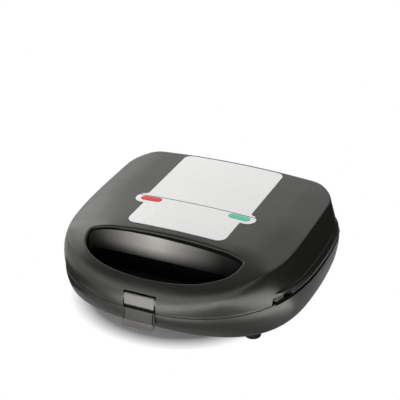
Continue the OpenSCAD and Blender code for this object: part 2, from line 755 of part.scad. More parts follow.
module lens_red() color([0.88, 0.24, 0.2]) lens(-1);
module lens_green() color([0.38, 0.8, 0.66]) lens(1);

module neon(s) {
  translate([s * lamp_x, lamp_y, neon_z]) {
    rod_x(2.6, -7, 7);
    rod_x(0.4, -11, 11);
  }
}

module neon_red() color([0.9, 0.8, 0.75]) neon(-1);
module neon_green() color([0.85, 0.9, 0.85]) neon(1);

module lamp_carrier() color([0.85, 0.85, 0.82]) difference() {
  union() {
    translate([-lamp_x - 14, lamp_y - 5, carrier_z - 2]) cube([2 * lamp_x + 28, 10, 2]);
    for (s = [-1, 1], t = [-1, 1])
      translate([s * lamp_x - 4, lamp_y + t * 3.5 - 0.6, carrier_z - eps]) cube([8, 1.2, 3]);
  }
  for (s = [-1, 1])
    translate([s * carrier_x, lamp_y, carrier_z - 5]) cylinder(r = screw_radius + 0.2, h = 10);
}

module lid_wiring() color([0.8, 0.3, 0.2]) {
  // Level of the leads, on the ends of the heater
  z = parting_z + terminal_top + 5.4;
  for (s = [-1, 1]) {
    wire([[s * 1.5, conduit_y, parting_z + 14.5], [s * 6, conduit_y - 5.5, z - 2.4],
      [s * terminal_x, heater_rear_y + 6, z + 0.4], [s * terminal_x, heater_rear_y, z]], 1.1);
    wire([[s * (terminal_x + 3), heater_rear_y, z], [s * (lamp_x - 12), lamp_y + 33, z + 0.2],
      [s * (lamp_x - 6), lamp_y + 9, neon_z], [s * (lamp_x - 12.4), lamp_y, neon_z]], 0.9);
  }
}

module latch_pin() color([0.75, 0.75, 0.76])
  translate([0, latch_pivot_y, latch_pivot_z]) rod_x(latch_pin_radius, -latch_pin_half, latch_pin_half);

// Side profile of the latch as y, z from the front of the parting edge: outer face downwards,
// finger tab, inner face with its nib
latch_profile = [
  [2.1, 15.1], [1.3, 14.2], [0.5, 8], [-0.2, 0], [-1.6, -8], [-2.7, -12], [-5.5, -15.4],
  [-5.5, -16.4], [-4.3, -17], [-1.3, -14.4], [0.3, -11.4], [1.6, -10.4], [1.6, -8.8], [0.6, -7.8],
  [0.9, -4], [1.9, 0], [2.7, 6], [3.3, 14.8]
];

module latch() color([0.38, 0.38, 0.36]) difference() {
  union() {
    translate([-latch_half_width, front_y, parting_z]) rotate([90, 0, 90])
      linear_extrude(2 * latch_half_width) polygon(latch_profile);
    for (s = [-1, 1]) translate([s * (latch_half_width - 6.2), latch_pivot_y, latch_pivot_z]) {
      rod_x(3, -6, 6);
      translate([-6, -4, -3]) cube([12, 4, 6]);
    }
  }
  translate([0, latch_pivot_y, latch_pivot_z]) rod_x(latch_pin_radius + pin_fit, -20, 20);
}

// ---------- base ----------

// Levels of the base housing: height, then the insets of half width, rear half width, rear y and
// front y from the parting edge, the front's exponent and the inset of the corner radius
base_levels = [
  [belly_z, 17, 17, 15.3, 46.3, 3.2, 8],
  [belly_z + 2, 10, 9.5, 8.3, 36.3, 3.1, 5],
  [belly_z + 7, 5, 4.5, 3.8, 25.8, 3, 3],
  [parting_z - 24, 2.8, 2.4, 2.1, 15.8, 2.75, 2],
  [parting_z - 16, 1.4, 1.2, 1.1, 6.8, 2.55, 1],
  [parting_z - 8, 0.4, 0.4, 0.3, 1.1, 2.45, 0.5],
  [base_edge_z, 0, 0, 0, 0, front_exponent, 0]
];
function base_ring(l, g, z) = flat_ring([
  body_half_width - l[1] - g, rear_half_width - l[2] - g, rear_y - l[3] - g, front_y + l[4] + g,
  l[5], rear_corner_radius - l[6] - g
], z);

vent_rows = [plate_front_y - 9, plate_front_y + 3];

module base_shell() color([0.30, 0.30, 0.28]) {
  difference() {
    union() {
      loft([for (l = base_levels) base_ring(l, 0, l[0])]);
      for (p = feet) translate([p[0], p[1], belly_z]) cylinder(r = foot_radius + 1.2, h = 8);
    }
    difference() {
      loft(concat(
        [for (i = [0:5]) base_ring(base_levels[i], base_wall, max(belly_z + base_wall, base_levels[i][0]
          + (i < 3 ? 1.6 : 0.6) + i * 0.01))],
        [base_ring(base_levels[6], base_wall, base_edge_z + 2)]
      ));
      for (p = frame_screws)
        translate([p[0], p[1], 0]) cylinder(r = boss_radius, h = parting_z - frame_hi);
      for (p = feet) translate([p[0], p[1], 0]) cylinder(r = boss_radius, h = 16);
      // Latch catch block, hinge blocks and gland boss
      translate([-latch_block_x + 0.5, front_y - 3.7, parting_z - 15])
        cube([2 * latch_block_x - 1, 10.5, 15]);
      for (s = [-1, 1])
        translate([s * hinge_x - 14, rear_y - 9.3, parting_z - 14]) cube([28, 12, 14 - frame_hi]);
      translate([gland_x, 0, gland_z]) rod_y(8, rear_y - 7.3, rear_y + 1.7);
    }
    // Latch channel
    translate([-latch_gap_x, front_y - 13.7, parting_z - 18]) cube([2 * latch_gap_x, 16.6, 30]);
    // Screw bores
    for (p = frame_screws) translate([p[0], p[1], parting_z - 20]) cylinder(r = screw_bore, h = 30);
    for (p = feet) translate([p[0], p[1], 0]) cylinder(r = screw_bore, h = 14);
    // Room for the lid barrels of the hinge
    for (s = [-1, 1]) translate([0, hinge_y, parting_z])
      rod_x(barrel_radius + barrel_gap, s * hinge_x - lid_barrel_length / 2 - 0.4,
        s * hinge_x + lid_barrel_length / 2 + 0.4);
    // Room for the hinge pins and their heads
    for (s = [-1, 1]) translate([0, hinge_y, parting_z])
      rod_x(hinge_pin_radius + 0.02, s * hinge_x - 14, s * hinge_x + 14);
    for (s = [-1, 1], d = [-1, 1]) translate([0, hinge_y, parting_z])
      rod_x(pin_head_radius + barrel_gap, s * hinge_x + d * 13 - 1.6, s * hinge_x + d * 13 + 1.6);
    // Gland hole
    translate([gland_x, 0, gland_z]) rod_y(5.05, rear_y - 16, rear_y + 14);
    // Slot of the release grip
    translate([-grip_slot_x - 14, grip_slot_y, parting_z - 7.4]) cube([14, grip_slot_length, 12]);
    // Vents in the floor
    for (y = vent_rows, x = [-45:18:45]) translate([x, y, 0]) linear_extrude(12) pill(12, 3);
  }
  // Catch ridge
  translate([4.2 - latch_half_width, front_y + 1.9, parting_z - 7.6])
    cube([2 * (latch_half_width - 4.2), 1.2, 2.2]);
  // Base barrels
  for (s = [-1, 1], d = [-1, 1]) difference() {
    union() {
      x0 = s * hinge_x + d * base_barrel_offset - base_barrel_length / 2;
      translate([0, hinge_y, parting_z]) rod_x(barrel_radius, x0, x0 + base_barrel_length);
      translate([x0, base_arm_y, parting_z - 10]) cube([base_barrel_length, hinge_y - base_arm_y, 9.5]);
    }
    translate([0, hinge_y, parting_z]) rod_x(hinge_pin_radius + 0.02, s * hinge_x - 20, s * hinge_x + 20);
  }
}

module base_deck() color([0.12, 0.12, 0.12]) base_side() {
  difference() {
    frame_plate(base_wall + 0.8);
    // Room for the latch catch block
    translate([-latch_block_x - 0.5, front_y - 8.7, -5]) cube([2 * latch_block_x + 1, 16, 20]);
  }
  spring_stop();
}

module base_reflector() color([0.78, 0.78, 0.8]) base_side() reflector_pan();
module base_heater() color([0.35, 0.33, 0.32]) base_side() heater();
module lower_plate() color([0.13, 0.13, 0.13]) base_side() cooking_plate();
module base_release_slide() color([0.3, 0.3, 0.28]) base_side() release_slide();
module base_release_spring() color([0.7, 0.7, 0.72]) base_side() release_spring();

module base_screws() color([0.7, 0.7, 0.7])
  for (p = frame_screws)
    translate([p[0], p[1], parting_z - frame_lo - 0.2]) rotate([180, 0, 0]) screw(12, 2.8);

// Bimetal thermostat on the pan floor under the middle of the lower plate
module thermostat() color([0.85, 0.8, 0.7]) in_base() translate([0, plate_y, 0]) {
  translate([0, 0, 15]) cylinder(r = 7.5, h = pan_floor - 15);
  translate([0, 0, pan_floor - eps]) cylinder(r = 4.6, h = 2);
  for (s = [-1, 1]) translate([s * 2.5 - 0.4, -2, pan_floor]) cube([0.8, 4, 6]);
}

fuse_x = -26;
fuse_y = plate_y + 16;
fuse_z = parting_z - pan_floor - pan_sheet - 2.2;
module thermal_fuse() color([0.75, 0.7, 0.6])
  translate([fuse_x, fuse_y, fuse_z]) {
    rod_x(2.1, -7, 7);
    rod_x(0.5, -12, 12);
  }

// Terminal block: place, pitch of its three ways, half depth and the height of the ways
block_x = 44;
block_y = plate_y + 28;
block_pitch = 9;
block_half = 8;
block_z = belly_z + base_wall + 4;
module terminal_block() color([0.92, 0.92, 0.9]) difference() {
  translate([block_x - 1.5 * block_pitch - 1.5, block_y - block_half, belly_z + base_wall])
    cube([3 * block_pitch + 3, 2 * block_half, 9]);
  for (i = [-1:1]) {
    translate([block_x + i * block_pitch, block_y, block_z]) rod_y(1.6, -block_half - 2, block_half + 2);
    for (t = [-1, 1])
      translate([block_x + i * block_pitch, block_y + t * block_half / 2, block_z])
        cylinder(r = 1.2, h = 8);
  }
}

module base_wiring() color([0.2, 0.35, 0.7]) {
  z = block_z;
  // Outer ways of the block; ends just clear of its two faces, and a short way straight on
  x0 = block_x - block_pitch;
  x1 = block_x + block_pitch;
  y0 = block_y - block_half - slide_fit;
  y1 = block_y + block_half + slide_fit;
  straight = 3;
  // Levels of the tabs of the thermostat and of the heater's ends
  tab_z = parting_z - 31.6;
  end_z = parting_z - 32.8;
  // Mains leads from the gland to the block, one above the other
  wire([[gland_x - 1, rear_y - 10.9, gland_z - 1.3], [gland_x + 10, rear_y - 19.3, z - 1.1],
    [block_x - 14, rear_y - 32.3, z - 1.6], [x0, block_y + 16, z], [x0, y1, z]], 1.1);
  wire([[gland_x + 1, rear_y - 10.9, gland_z + 1.3], [gland_x + 14, rear_y - 17.3, z + 2.2],
    [block_x + 4, rear_y - 28.3, z + 2], [x1, block_y + 18, z], [x1, y1, z]], 1.1);
  // Block to the conduit
  wire([[block_x, y1, z], [block_x, y1 + straight, z], [block_x - 2, block_y + 18, fuse_z],
    [4, conduit_y - 7.5, fuse_z], [0, conduit_y, gland_z], [0, conduit_y, parting_z - 14]], 1.1);
  // Block to thermostat, on over the fuse to the heater, and back to the block
  wire([[x0, y0, z], [x0, y0 - straight, z], [block_x - 12, plate_y + 12, z],
    [10, plate_y, tab_z], [3.6, plate_y, tab_z]], 1.1);
  wire([[-3.6, plate_y, tab_z + 0.6], [-8, plate_y + 4, tab_z + 0.6], [fuse_x + 13.2, fuse_y, fuse_z]],
    0.9);
  wire([[fuse_x - 13.2, fuse_y, fuse_z], [fuse_x - 16, fuse_y + 10, end_z + 0.8],
    [-2 * terminal_x, heater_rear_y, end_z], [-terminal_x, heater_rear_y, end_z]], 0.9);
  wire([[x0, y1, z + 2.6], [x0, y1 + straight, z + 2.6],
    [2 * terminal_x, heater_rear_y, end_z + 1.8], [terminal_x, heater_rear_y, end_z]], 0.9);
}

// Rubber bush where the mains cord enters
module cord_gland() color([0.06, 0.06, 0.06]) translate([gland_x, 0, gland_z]) difference() {
  union() {
    rod_y(5, rear_y - 7.9, rear_y + 2.7);
    rod_y(6.6, rear_y - 0.7, rear_y + 1.1);
    rod_y(6.6, rear_y - 8.9, rear_y - 7.4);
  }
  rod_y(gland_bore, rear_y - 16, rear_y + 14);
}

// Rubber foot with a sunk screw hole
module foot(p) {
  translate([p[0], p[1], 0]) difference() {
    union() {
      cylinder(r = foot_radius, h = belly_z - 1.5);
      translate([0, 0, belly_z - 1.5 - eps]) cylinder(r1 = foot_radius, r2 = foot_radius - 1, h = 1.5 + eps);
    }
    translate([0, 0, -1]) cylinder(r = 3.4, h = 3.4);
    cylinder(r = screw_radius + 0.2, h = 20);
  }
}

module foot_front_left() color([0.07, 0.07, 0.07]) foot(feet[0]);
module foot_front_right() color([0.07, 0.07, 0.07]) foot(feet[1]);
module foot_rear_left() color([0.07, 0.07, 0.07]) foot(feet[2]);
module foot_rear_right() color([0.07, 0.07, 0.07]) foot(feet[3]);
module foot_screws() color([0.7, 0.7, 0.7]) for (p = feet) translate([p[0], p[1], 1.2]) screw(10, 3);

module hinge_pin(s) {
  translate([0, hinge_y, parting_z]) {
    rod_x(hinge_pin_radius, s * hinge_x - 12.6, s * hinge_x + 12.6);
    for (d = [-1, 1])
      rod_x(pin_head_radius, s * hinge_x + d * 12.8 - 0.6, s * hinge_x + d * 12.8 + 0.6);
  }
}

module hinge_pin_left() color([0.75, 0.75, 0.76]) hinge_pin(-1);
module hinge_pin_right() color([0.75, 0.75, 0.76]) hinge_pin(1);

// Sleeve that takes the lid's leads past the hinge
module hinge_conduit() color([0.85, 0.83, 0.75]) translate([0, conduit_y, parting_z - 13]) difference() {
  cylinder(r = conduit_radius, h = 27);
  translate([0, 0, -1]) cylinder(r = conduit_radius - 0.8, h = 29);
}

base_shell();
base_deck();
base_reflector();
base_heater();
lower_plate();
base_release_slide();
base_release_spring();
thermostat();
thermal_fuse();
terminal_block();
base_wiring();
cord_gland();
foot_front_left();
foot_front_right();
foot_rear_left();
foot_rear_right();
foot_screws();
base_screws();
hinge_pin_left();
hinge_pin_right();
hinge_conduit();
lid_shell();
lid_frame();
lid_reflector();
lid_heater();
upper_plate();
lid_release_slide();
lid_release_spring();
trim_panel();
lens_red();
lens_green();
neon_red();
neon_green();
lamp_carrier();
lid_wiring();
lid_screws();
latch_pin();
latch();
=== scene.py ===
"""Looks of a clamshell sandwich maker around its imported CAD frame.

Front is -Y, +X is right and +Z is up. Sizes are millimetres, scaled to metres where a mesh is
made. The outlines follow the same formulas as the solids.
"""
import math
from collections import namedtuple

import bmesh
import bpy
from mathutils import Matrix, Vector
from mathutils.geometry import delaunay_2d_cdt


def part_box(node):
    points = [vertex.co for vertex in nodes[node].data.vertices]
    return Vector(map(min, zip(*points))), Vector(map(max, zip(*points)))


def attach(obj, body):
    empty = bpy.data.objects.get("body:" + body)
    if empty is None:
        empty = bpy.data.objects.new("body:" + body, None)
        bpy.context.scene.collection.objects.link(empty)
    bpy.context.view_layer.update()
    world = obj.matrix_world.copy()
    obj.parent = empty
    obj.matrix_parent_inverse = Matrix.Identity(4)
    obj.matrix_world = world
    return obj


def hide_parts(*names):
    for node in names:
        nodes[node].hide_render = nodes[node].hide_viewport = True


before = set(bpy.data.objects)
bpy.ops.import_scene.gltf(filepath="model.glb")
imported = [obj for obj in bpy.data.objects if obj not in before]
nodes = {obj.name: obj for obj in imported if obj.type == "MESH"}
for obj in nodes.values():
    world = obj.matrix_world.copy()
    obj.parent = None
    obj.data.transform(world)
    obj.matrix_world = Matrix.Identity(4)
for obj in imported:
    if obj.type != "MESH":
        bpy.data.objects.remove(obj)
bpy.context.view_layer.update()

MM = 0.001


def box_mm(node):
    """Lowest and highest corner of a CAD node in millimetres."""
    lo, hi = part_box(node)
    return lo / MM, hi / MM


def centre_of(node):
    lo, hi = box_mm(node)
    return (lo + hi) / 2


# ---- sizes, in millimetres

deck_top_z = box_mm("base_deck")[1].z
base_lo, base_hi = box_mm("base_shell")

# Both housings meet at the parting plane, half_gap below and above it.
half_gap = 0.3
parting_z = deck_top_z + 0.8
half_width = base_hi.x
half_depth = -base_lo.y
rear_half_width = half_width - 9
widest_y = 33.0
front_power = 2.43
corner_radius = 38.0
belly_z = 6.0
lid_wall = 3.0
base_wall = 2.6

# The shadow gap along the sides starts at gap_front_y and fades in over gap_fade.
gap_front_y = -58.0
gap_fade = 6.0
shadow_depth = 3.0
shadow_height = 2.4
base_rebate = 1.8
# Heights above the parting plane of the bead's band that gets a painted highlight.
lip_low = 2.42
lip_high = 2.95

# The lid's top is a crown with side facets; its front falls and its corners drop.
lid_top_z = 88.2
side_edge_z = 78.5
top_half_width = 110.8
facet_slope = 0.27
facet_blend = 2.0
fall_start_y = -35.0
fall_curve = 0.00336
rear_fall_curve = 0.08
corner_drop = 2.4
drop_start_x, drop_end_x = 58.0, 98.0
drop_start_y, drop_end_y = 35.0, -60.0
crown_radius = 1000.0
crown_axis_z = lid_top_z - crown_radius
edge_power = 3.4
top_power = 2.6
bulge_start_y = -20.0
bulge_length = 80.0
peak_y = 40.0

# The grip opening is an oval about grip_tip_y. Its rear wall leans back above grip_step_z.
grip_half_width = 77.2
grip_tip_y = -61.0
grip_rear = 11.2
grip_front = 43.2
grip_rear_power = 2.6
grip_front_power = 2.25
grip_step_z = 61.0
grip_top_z = 92.0
grip_lean_height = 32.0
grip_foot_inset = 5.5
grip_top_inset = -1.2
grip_wall = 2.4
rim_radius = 1.7

panel_half_width = 54.0
panel_front_half_width = 50.0
panel_front_y = -41.5
panel_rear_y = 108.0
panel_corner = 7.0
panel_low, panel_high = -0.5, 0.3
panel_room = 0.25
groove_front_y, groove_rear_y = 11.9, 13.1
groove_half = 61.5
ear_half_width = 62.5
ear_radius = 9.3
ear_shift_y = 0.6
ear_blend = 2.2
lamp_x = 46.0
lamp_y = 7.0
lens_length = 22.0
lens_width = 8.4
lens_room = 0.3

# Each hinge has one barrel of the lid between two of the base.
hinge_x = 70.0
hinge_y = 117.6
hinge_z = parting_z
HINGES = (-hinge_x, hinge_x)
barrel_radius = 4.2
barrel_room = 0.5
lid_barrel_half = 5.5
base_barrel_half = 3.0
base_barrel_x = 8.9
pin_head_x = 13.0
hinge_block_half = 14.0
hinge_block_y = 107.0

latch_half_width = 15.5
latch_room = 0.6
latch_pivot_y, latch_pivot_z = -110.6, 54.5
latch_arm_x = 10.0
seam_low, seam_high = 44.6, 48.2
tab_seam_low, tab_seam_high = 33.2, 33.9
side_seam_x = 14.2
side_seam_half = 0.45

release_inner_x, release_outer_x = 103.0, 117.0
release_front_y, release_rear_y = -60.5, -36.0


# ---- outlines and surfaces

FRONT_STEPS, SIDE_STEPS, CORNER_STEPS, REAR_STEPS = 150, 24, 14, 36

Shape = namedtuple("Shape", "half_width rear_half_width rear_y front_y front_power corner")
PARTING = Shape(half_width, rear_half_width, half_depth, -half_depth, front_power, corner_radius)
TOP_EDGE = Shape(top_half_width, top_half_width - 1, half_depth - 1.8, -half_depth + 12.3,
                 edge_power, corner_radius - 6)


def signed_power(value, exponent):
    return math.copysign(abs(value) ** exponent, value) if value else 0.0


def smooth(value):
    """0 up to 0, 1 from 1 on and a smooth step between them."""
    t = min(1.0, max(0.0, value))
    return t * t * (3 - 2 * t)


def soft_min(a, b, blend):
    """The lower of two heights, rounded where they meet."""
    near = max(blend - abs(a - b), 0) / blend
    return min(a, b) - near * near * blend / 4


def mix(a, b, t):
    return a * (1 - t) + b * t


def drawn_in(shape, inset):
    """The same shape, smaller by inset all round."""
    return Shape(shape.half_width - inset, shape.rear_half_width - inset, shape.rear_y - inset,
                 shape.front_y + inset, shape.front_power, shape.corner - inset)


def side_x(shape, y):
    """Half width of a shape at y, behind its widest place."""
    t = (y - widest_y) / (shape.rear_y - widest_y)
    return shape.half_width - (shape.half_width - shape.rear_half_width) * t * t


def outline(shape):
    """Points round a shape, clockwise seen from above, from its widest place at the right."""
    arc_y = shape.rear_y - shape.corner
    arc_x = side_x(shape, arc_y) - shape.corner
    points = []
    for i in range(FRONT_STEPS + 1):
        a = math.pi * i / FRONT_STEPS
        reach = abs(math.sin(a)) ** (2 / shape.front_power)
        points.append((shape.half_width * signed_power(math.cos(a), 2 / shape.front_power),
                       widest_y - (widest_y - shape.front_y) * reach))
    sides = [(side_x(shape, y), y) for y in
             (mix(widest_y, arc_y, i / SIDE_STEPS) for i in range(1, SIDE_STEPS))]
    arc = [(arc_x + shape.corner * math.cos(a), arc_y + shape.corner * math.sin(a)) for a in
           (math.pi / 2 * i / CORNER_STEPS for i in range(CORNER_STEPS + 1))]
    points += [(-x, y) for x, y in sides + arc]
    points += [(mix(-arc_x, arc_x, i / REAR_STEPS), shape.rear_y) for i in range(1, REAR_STEPS)]
    return points + arc[::-1] + sides[::-1]


def crown_z(x):
    return crown_axis_z + math.sqrt(crown_radius ** 2 - x * x)


def top_z(x, y):
    """Height of the crown, which falls away in front and a little at the rear."""
    return (crown_z(x) - fall_curve * max(0, fall_start_y - y) ** 2
            - rear_fall_curve * max(0, y - panel_rear_y - 1) ** 2)


def lid_z(x, y):
    """Height of the lid's top: crown and facets, lower at the front corners."""
    facet = side_edge_z + facet_slope * (top_half_width - 1 - abs(x))
    corner = (corner_drop * smooth((abs(x) - drop_start_x) / (drop_end_x - drop_start_x))
              * smooth((drop_start_y - y) / (drop_start_y - drop_end_y)))
    return soft_min(top_z(x, y), facet, facet_blend) - corner


def bulge_in(t):
    """Share of the front wall's way in, t up the wall."""
    return 0.854 * t * t * (1 - t) + t ** 3


def bulge_up(t):
    """Share of the front wall's way up: it rises first and then leans in."""
    return 1.5 * t * (1 - t) ** 2 + 2.56 * t * t * (1 - t) + t ** 3


def wall_ring(t, inset=0.0, out=0.0):
    """Ring of the lid's wall, t = 0 at the parting plane to 1 at the top edge, with its sides
    and rear moved out."""
    low, high = drawn_in(PARTING, inset), drawn_in(TOP_EDGE, inset)
    shape = Shape(*(mix(a, b, t) for a, b in zip(low, high)))
    shape = shape._replace(front_y=mix(low.front_y, high.front_y, bulge_in(t)))
    wide = drawn_in(shape, -out)._replace(front_y=shape.front_y)
    ring = []
    for (x, y), (wide_x, wide_y), top in zip(outline(shape), outline(wide), outline(high)):
        front = smooth((bulge_start_y - y) / bulge_length)
        up = (1 - front) * t + front * bulge_up(t)
        side = smooth((y - gap_front_y) / 8)
        ring.append((mix(x, wide_x, side), mix(y, wide_y, side),
                     parting_z + (lid_z(*top) - inset - parting_z) * up))
    return ring


def top_ring(side, front, rear, inset=0.0):
    """Ring on the lid's top, inside its edge by side, front and rear."""
    edge = drawn_in(TOP_EDGE, inset)
    shape = Shape(edge.half_width - side, edge.rear_half_width - side, edge.rear_y - rear,
                  edge.front_y + front, mix(edge_power, top_power, min(1, side / 60)),
                  max(6, edge.corner - side * 0.35))
    return [(x, y, lid_z(x, y) - inset) for x, y in outline(shape)]


def along_gap(ring, gap_ring):
    """The first ring in front of the shadow gap and the second one along the gap."""
    return [tuple(mix(a, b, smooth((p[1] - gap_front_y) / gap_fade)) for a, b in zip(p, q))
            for p, q in zip(ring, gap_ring)]


def foot_ring(z, inset):
    """Lowest rings of the lid, drawn in by inset except round the front."""
    small = outline(drawn_in(PARTING, inset)._replace(front_y=-half_depth))
    return [(x, y, z) for x, y in along_gap(outline(PARTING), small)]


def flat_ring(shape, z):
    return [(x, y, z) for x, y in outline(shape)]


def curve_rings(start, middle, end, steps=6):
    """Inner rings of a quadratic curve from start by way of middle to end."""
    rings = []
    for t in (k / steps for k in range(1, steps)):
        rings.append([tuple(mix(mix(a, b, t), mix(b, c, t), t) for a, b, c in zip(p, q, r))
                      for p, q, r in zip(start, middle, end)])
    return rings


def table_at(table, value):
    """Row between the rows whose first column is round value."""
    for low, high in zip(table, table[1:]):
        if value <= high[0]:
            t = (value - low[0]) / (high[0] - low[0])
            return [mix(a, b, t) for a, b in zip(low, high)]
    return table[-1]


# ---- mesh helpers

LATHE_STEPS = 64
weld_distance = 0.02


def add_object(name, data):
    obj = bpy.data.objects.new(name, data)
    bpy.context.scene.collection.objects.link(obj)
    return obj


def new_object(name, points, faces):
    mesh = bpy.data.meshes.new(name)
    mesh.from_pydata([Vector(p) * MM for p in points], [], faces)
    mesh.update()
    return add_object(name, mesh)


def loft(name, rings, peak=None):
    """Closed solid through rings, clockwise seen from above and lowest first."""
    n, m = len(rings[0]), len(rings)
    points = [p for ring in rings for p in ring]
    faces = [list(range(n))]
    for k in range(m - 1):
        for j in range(n):
            i = (j + 1) % n
            faces.append([k * n + j, (k + 1) * n + j, (k + 1) * n + i, k * n + i])
    last = [(m - 1) * n + j for j in range(n)]
    if peak:
        points.append(peak)
        faces += [[last[j], m * n, last[(j + 1) % n]] for j in range(n)]
    else:
        faces.append(last[::-1])
    return new_object(name, points, faces)


def block(name, lo, hi):
    points = [(x, y, z) for x in (lo[0], hi[0]) for y in (lo[1], hi[1]) for z in (lo[2], hi[2])]
    faces = [[0, 1, 3, 2], [4, 6, 7, 5], [0, 4, 5, 1], [2, 3, 7, 6], [0, 2, 6, 4], [1, 5, 7, 3]]
    return new_object(name, points, faces)


def prism(name, profile, z0, z1, place=Matrix.Identity(4)):
    """Solid of a counter-clockwise outline between two levels, then placed."""
    n = len(profile)
    points = [place @ Vector((x, y, z)) for z in (z0, z1) for x, y in profile]
    faces = [list(range(n))[::-1], list(range(n, 2 * n))]
    faces += [[j, (j + 1) % n, n + (j + 1) % n, n + j] for j in range(n)]
    return new_object(name, points, faces)


def lathe(name, profile, place=Matrix.Identity(4)):
    """Solid of revolution about local z through (radius, z) rows, then placed."""
    turns = [2 * math.pi * j / LATHE_STEPS for j in range(LATHE_STEPS)]
    obj = loft(name, [[(radius * math.cos(a), -radius * math.sin(a), z) for a in turns]
                      for radius, z in profile])
    for step in (Matrix.Scale(1 / MM, 4), place, Matrix.Scale(MM, 4)):
        obj.data.transform(step)
    return obj


def rod(name, radius, half, y, z, x=0.0):
    """Cylinder along x, of a radius and half its length."""
    place = Matrix.Translation((x, y, z)) @ Matrix.Rotation(math.pi / 2, 4, "Y")
    return lathe(name, [(radius, -half), (radius, half)], place)


def hinge_rod(name, radius, half, x):
    return rod(name, radius, half, hinge_y, hinge_z, x)


def hinge_barrels(offsets, half, arm_front, arm_low, arm_high):
    """Barrels at both hinges with the arms that carry them."""
    parts = []
    for x in (hinge + offset for hinge in HINGES for offset in offsets):
        parts.append(hinge_rod("barrel", barrel_radius, half, x))
        parts.append(block("barrel_arm", (x - half, arm_front, arm_low),
                           (x + half, hinge_y, arm_high)))
    return parts


def hinge_blocks(rear_y, low_z, high_z):
    """Wall at both hinges that a cavity leaves standing."""
    return [block("hinge_block", (x - hinge_block_half, hinge_block_y, low_z),
                  (x + hinge_block_half, rear_y, high_z)) for x in HINGES]


def rounded_rect(width, depth, radius, centre=(0, 0), steps=8):
    points = []
    for k, (sx, sy) in enumerate(((1, 1), (-1, 1), (-1, -1), (1, -1))):
        for i in range(steps + 1):
            a = math.pi / 2 * (k + i / steps)
            points.append((centre[0] + sx * (width / 2 - radius) + radius * math.cos(a),
                           centre[1] + sy * (depth / 2 - radius) + radius * math.sin(a)))
    return points


def pill(length, width, centre=(0, 0)):
    return rounded_rect(length, width, width / 2 - 1e-4, centre, 16)


def along_y(x, z):
    """Places a local z axis along y."""
    return Matrix.Translation((x, 0, z)) @ Matrix.Rotation(-math.pi / 2, 4, "X")


def crown_place(x):
    """Frame on the crown at x, its z axis square to the surface."""
    return (Matrix.Translation((0, 0, crown_axis_z))
            @ Matrix.Rotation(math.asin(x / crown_radius), 4, "Y")
            @ Matrix.Translation((0, 0, crown_radius)))


def combine(target, tools, operation="DIFFERENCE", solver="MANIFOLD"):
    """Boolean of target with each tool; the tools are used up."""
    for tool in tools:
        step = target.modifiers.new("tool", "BOOLEAN")
        step.operation = operation
        step.solver = solver
        step.object = tool
    shape = target.evaluated_get(bpy.context.evaluated_depsgraph_get())
    mesh = bpy.data.meshes.new_from_object(shape)
    target.modifiers.clear()
    target.data = mesh
    for tool in tools:
        bpy.data.objects.remove(tool)
    return target


def shade(obj, angle):
    """Smooth shading, with the edges sharper than angle kept."""
    obj.data.shade_smooth()
    obj.data.set_sharp_from_angle(angle=math.radians(angle))


def round_edges(obj, width, angle):
    """A modifier that rounds the edges sharper than angle."""
    rounding = obj.modifiers.new("rounding", "BEVEL")
    rounding.limit_method = "ANGLE"
    rounding.angle_limit = math.radians(angle)
    rounding.width = width * MM
    rounding.segments = 2
    rounding.harden_normals = True
    return rounding


def soften(obj, width, angle, weighted=False):
    """Welds stray points, shades smoothly and rounds the edges sharper than angle."""
    bm = bmesh.new()
    bm.from_mesh(obj.data)
    bmesh.ops.remove_doubles(bm, verts=bm.verts, dist=weld_distance * MM)
    bmesh.ops.dissolve_degenerate(bm, edges=bm.edges, dist=weld_distance * MM)
    bm.to_mesh(obj.data)
    bm.free()
    shade(obj, angle)
    if width:
        round_edges(obj, width, angle).miter_outer = "MITER_ARC"
    if weighted:
        obj.modifiers.new("flat_faces_lead", "WEIGHTED_NORMAL").keep_sharp = True
    return obj


# ---- materials


class Graph:
    """Short calls for a world's or a material's nodes."""

    def __init__(self, owner):
        self.tree = owner.node_tree
        self.coordinates = self.add("ShaderNodeTexCoord")
        self.place = self.coordinates.outputs["Object"]

    def add(self, kind, inputs=None, **settings):
        node = self.tree.nodes.new(kind)
        for key, value in settings.items():
            setattr(node, key, value)
        for key, value in (inputs or {}).items():
            if isinstance(value, bpy.types.NodeSocket):
                self.tree.links.new(value, node.inputs[key])
            else:
                node.inputs[key].default_value = value
        return node

    def noise(self, scale, detail, rough=0.55, stretch=None):
        place = self.place
        if stretch:
            place = self.add("ShaderNodeMapping", {"Vector": place, "Scale": stretch}).outputs[0]
        return self.add("ShaderNodeTexNoise", {
            "Vector": place, "Scale": scale, "Detail": detail, "Roughness": rough}).outputs[0]

    def ramp(self, value, low, high, to_low=0.0, to_high=1.0):
        return self.add("ShaderNodeMapRange", {
            "Value": value, "From Min": low, "From Max": high, "To Min": to_low,
            "To Max": to_high}).outputs[0]

    def spread(self, noise, to_low=0.0, to_high=1.0):
        """The middle of a noise, spread between two values."""
        return self.ramp(noise, 0.3, 0.7, to_low, to_high)

    def math(self, operation, a, b=0.0):
        return self.add("ShaderNodeMath", {0: a, 1: b}, operation=operation).outputs[0]

    def colour(self, factor, a, b):
        """Mix of two colours; b may be a socket."""
        return self.add("ShaderNodeMix", {
            "Factor": factor, "A": (*a, 1), "B": b if isinstance(b, bpy.types.NodeSocket)
            else (*b, 1)}, data_type="RGBA").outputs["Result"]

    def link(self, value, socket):
        self.tree.links.new(value, socket)


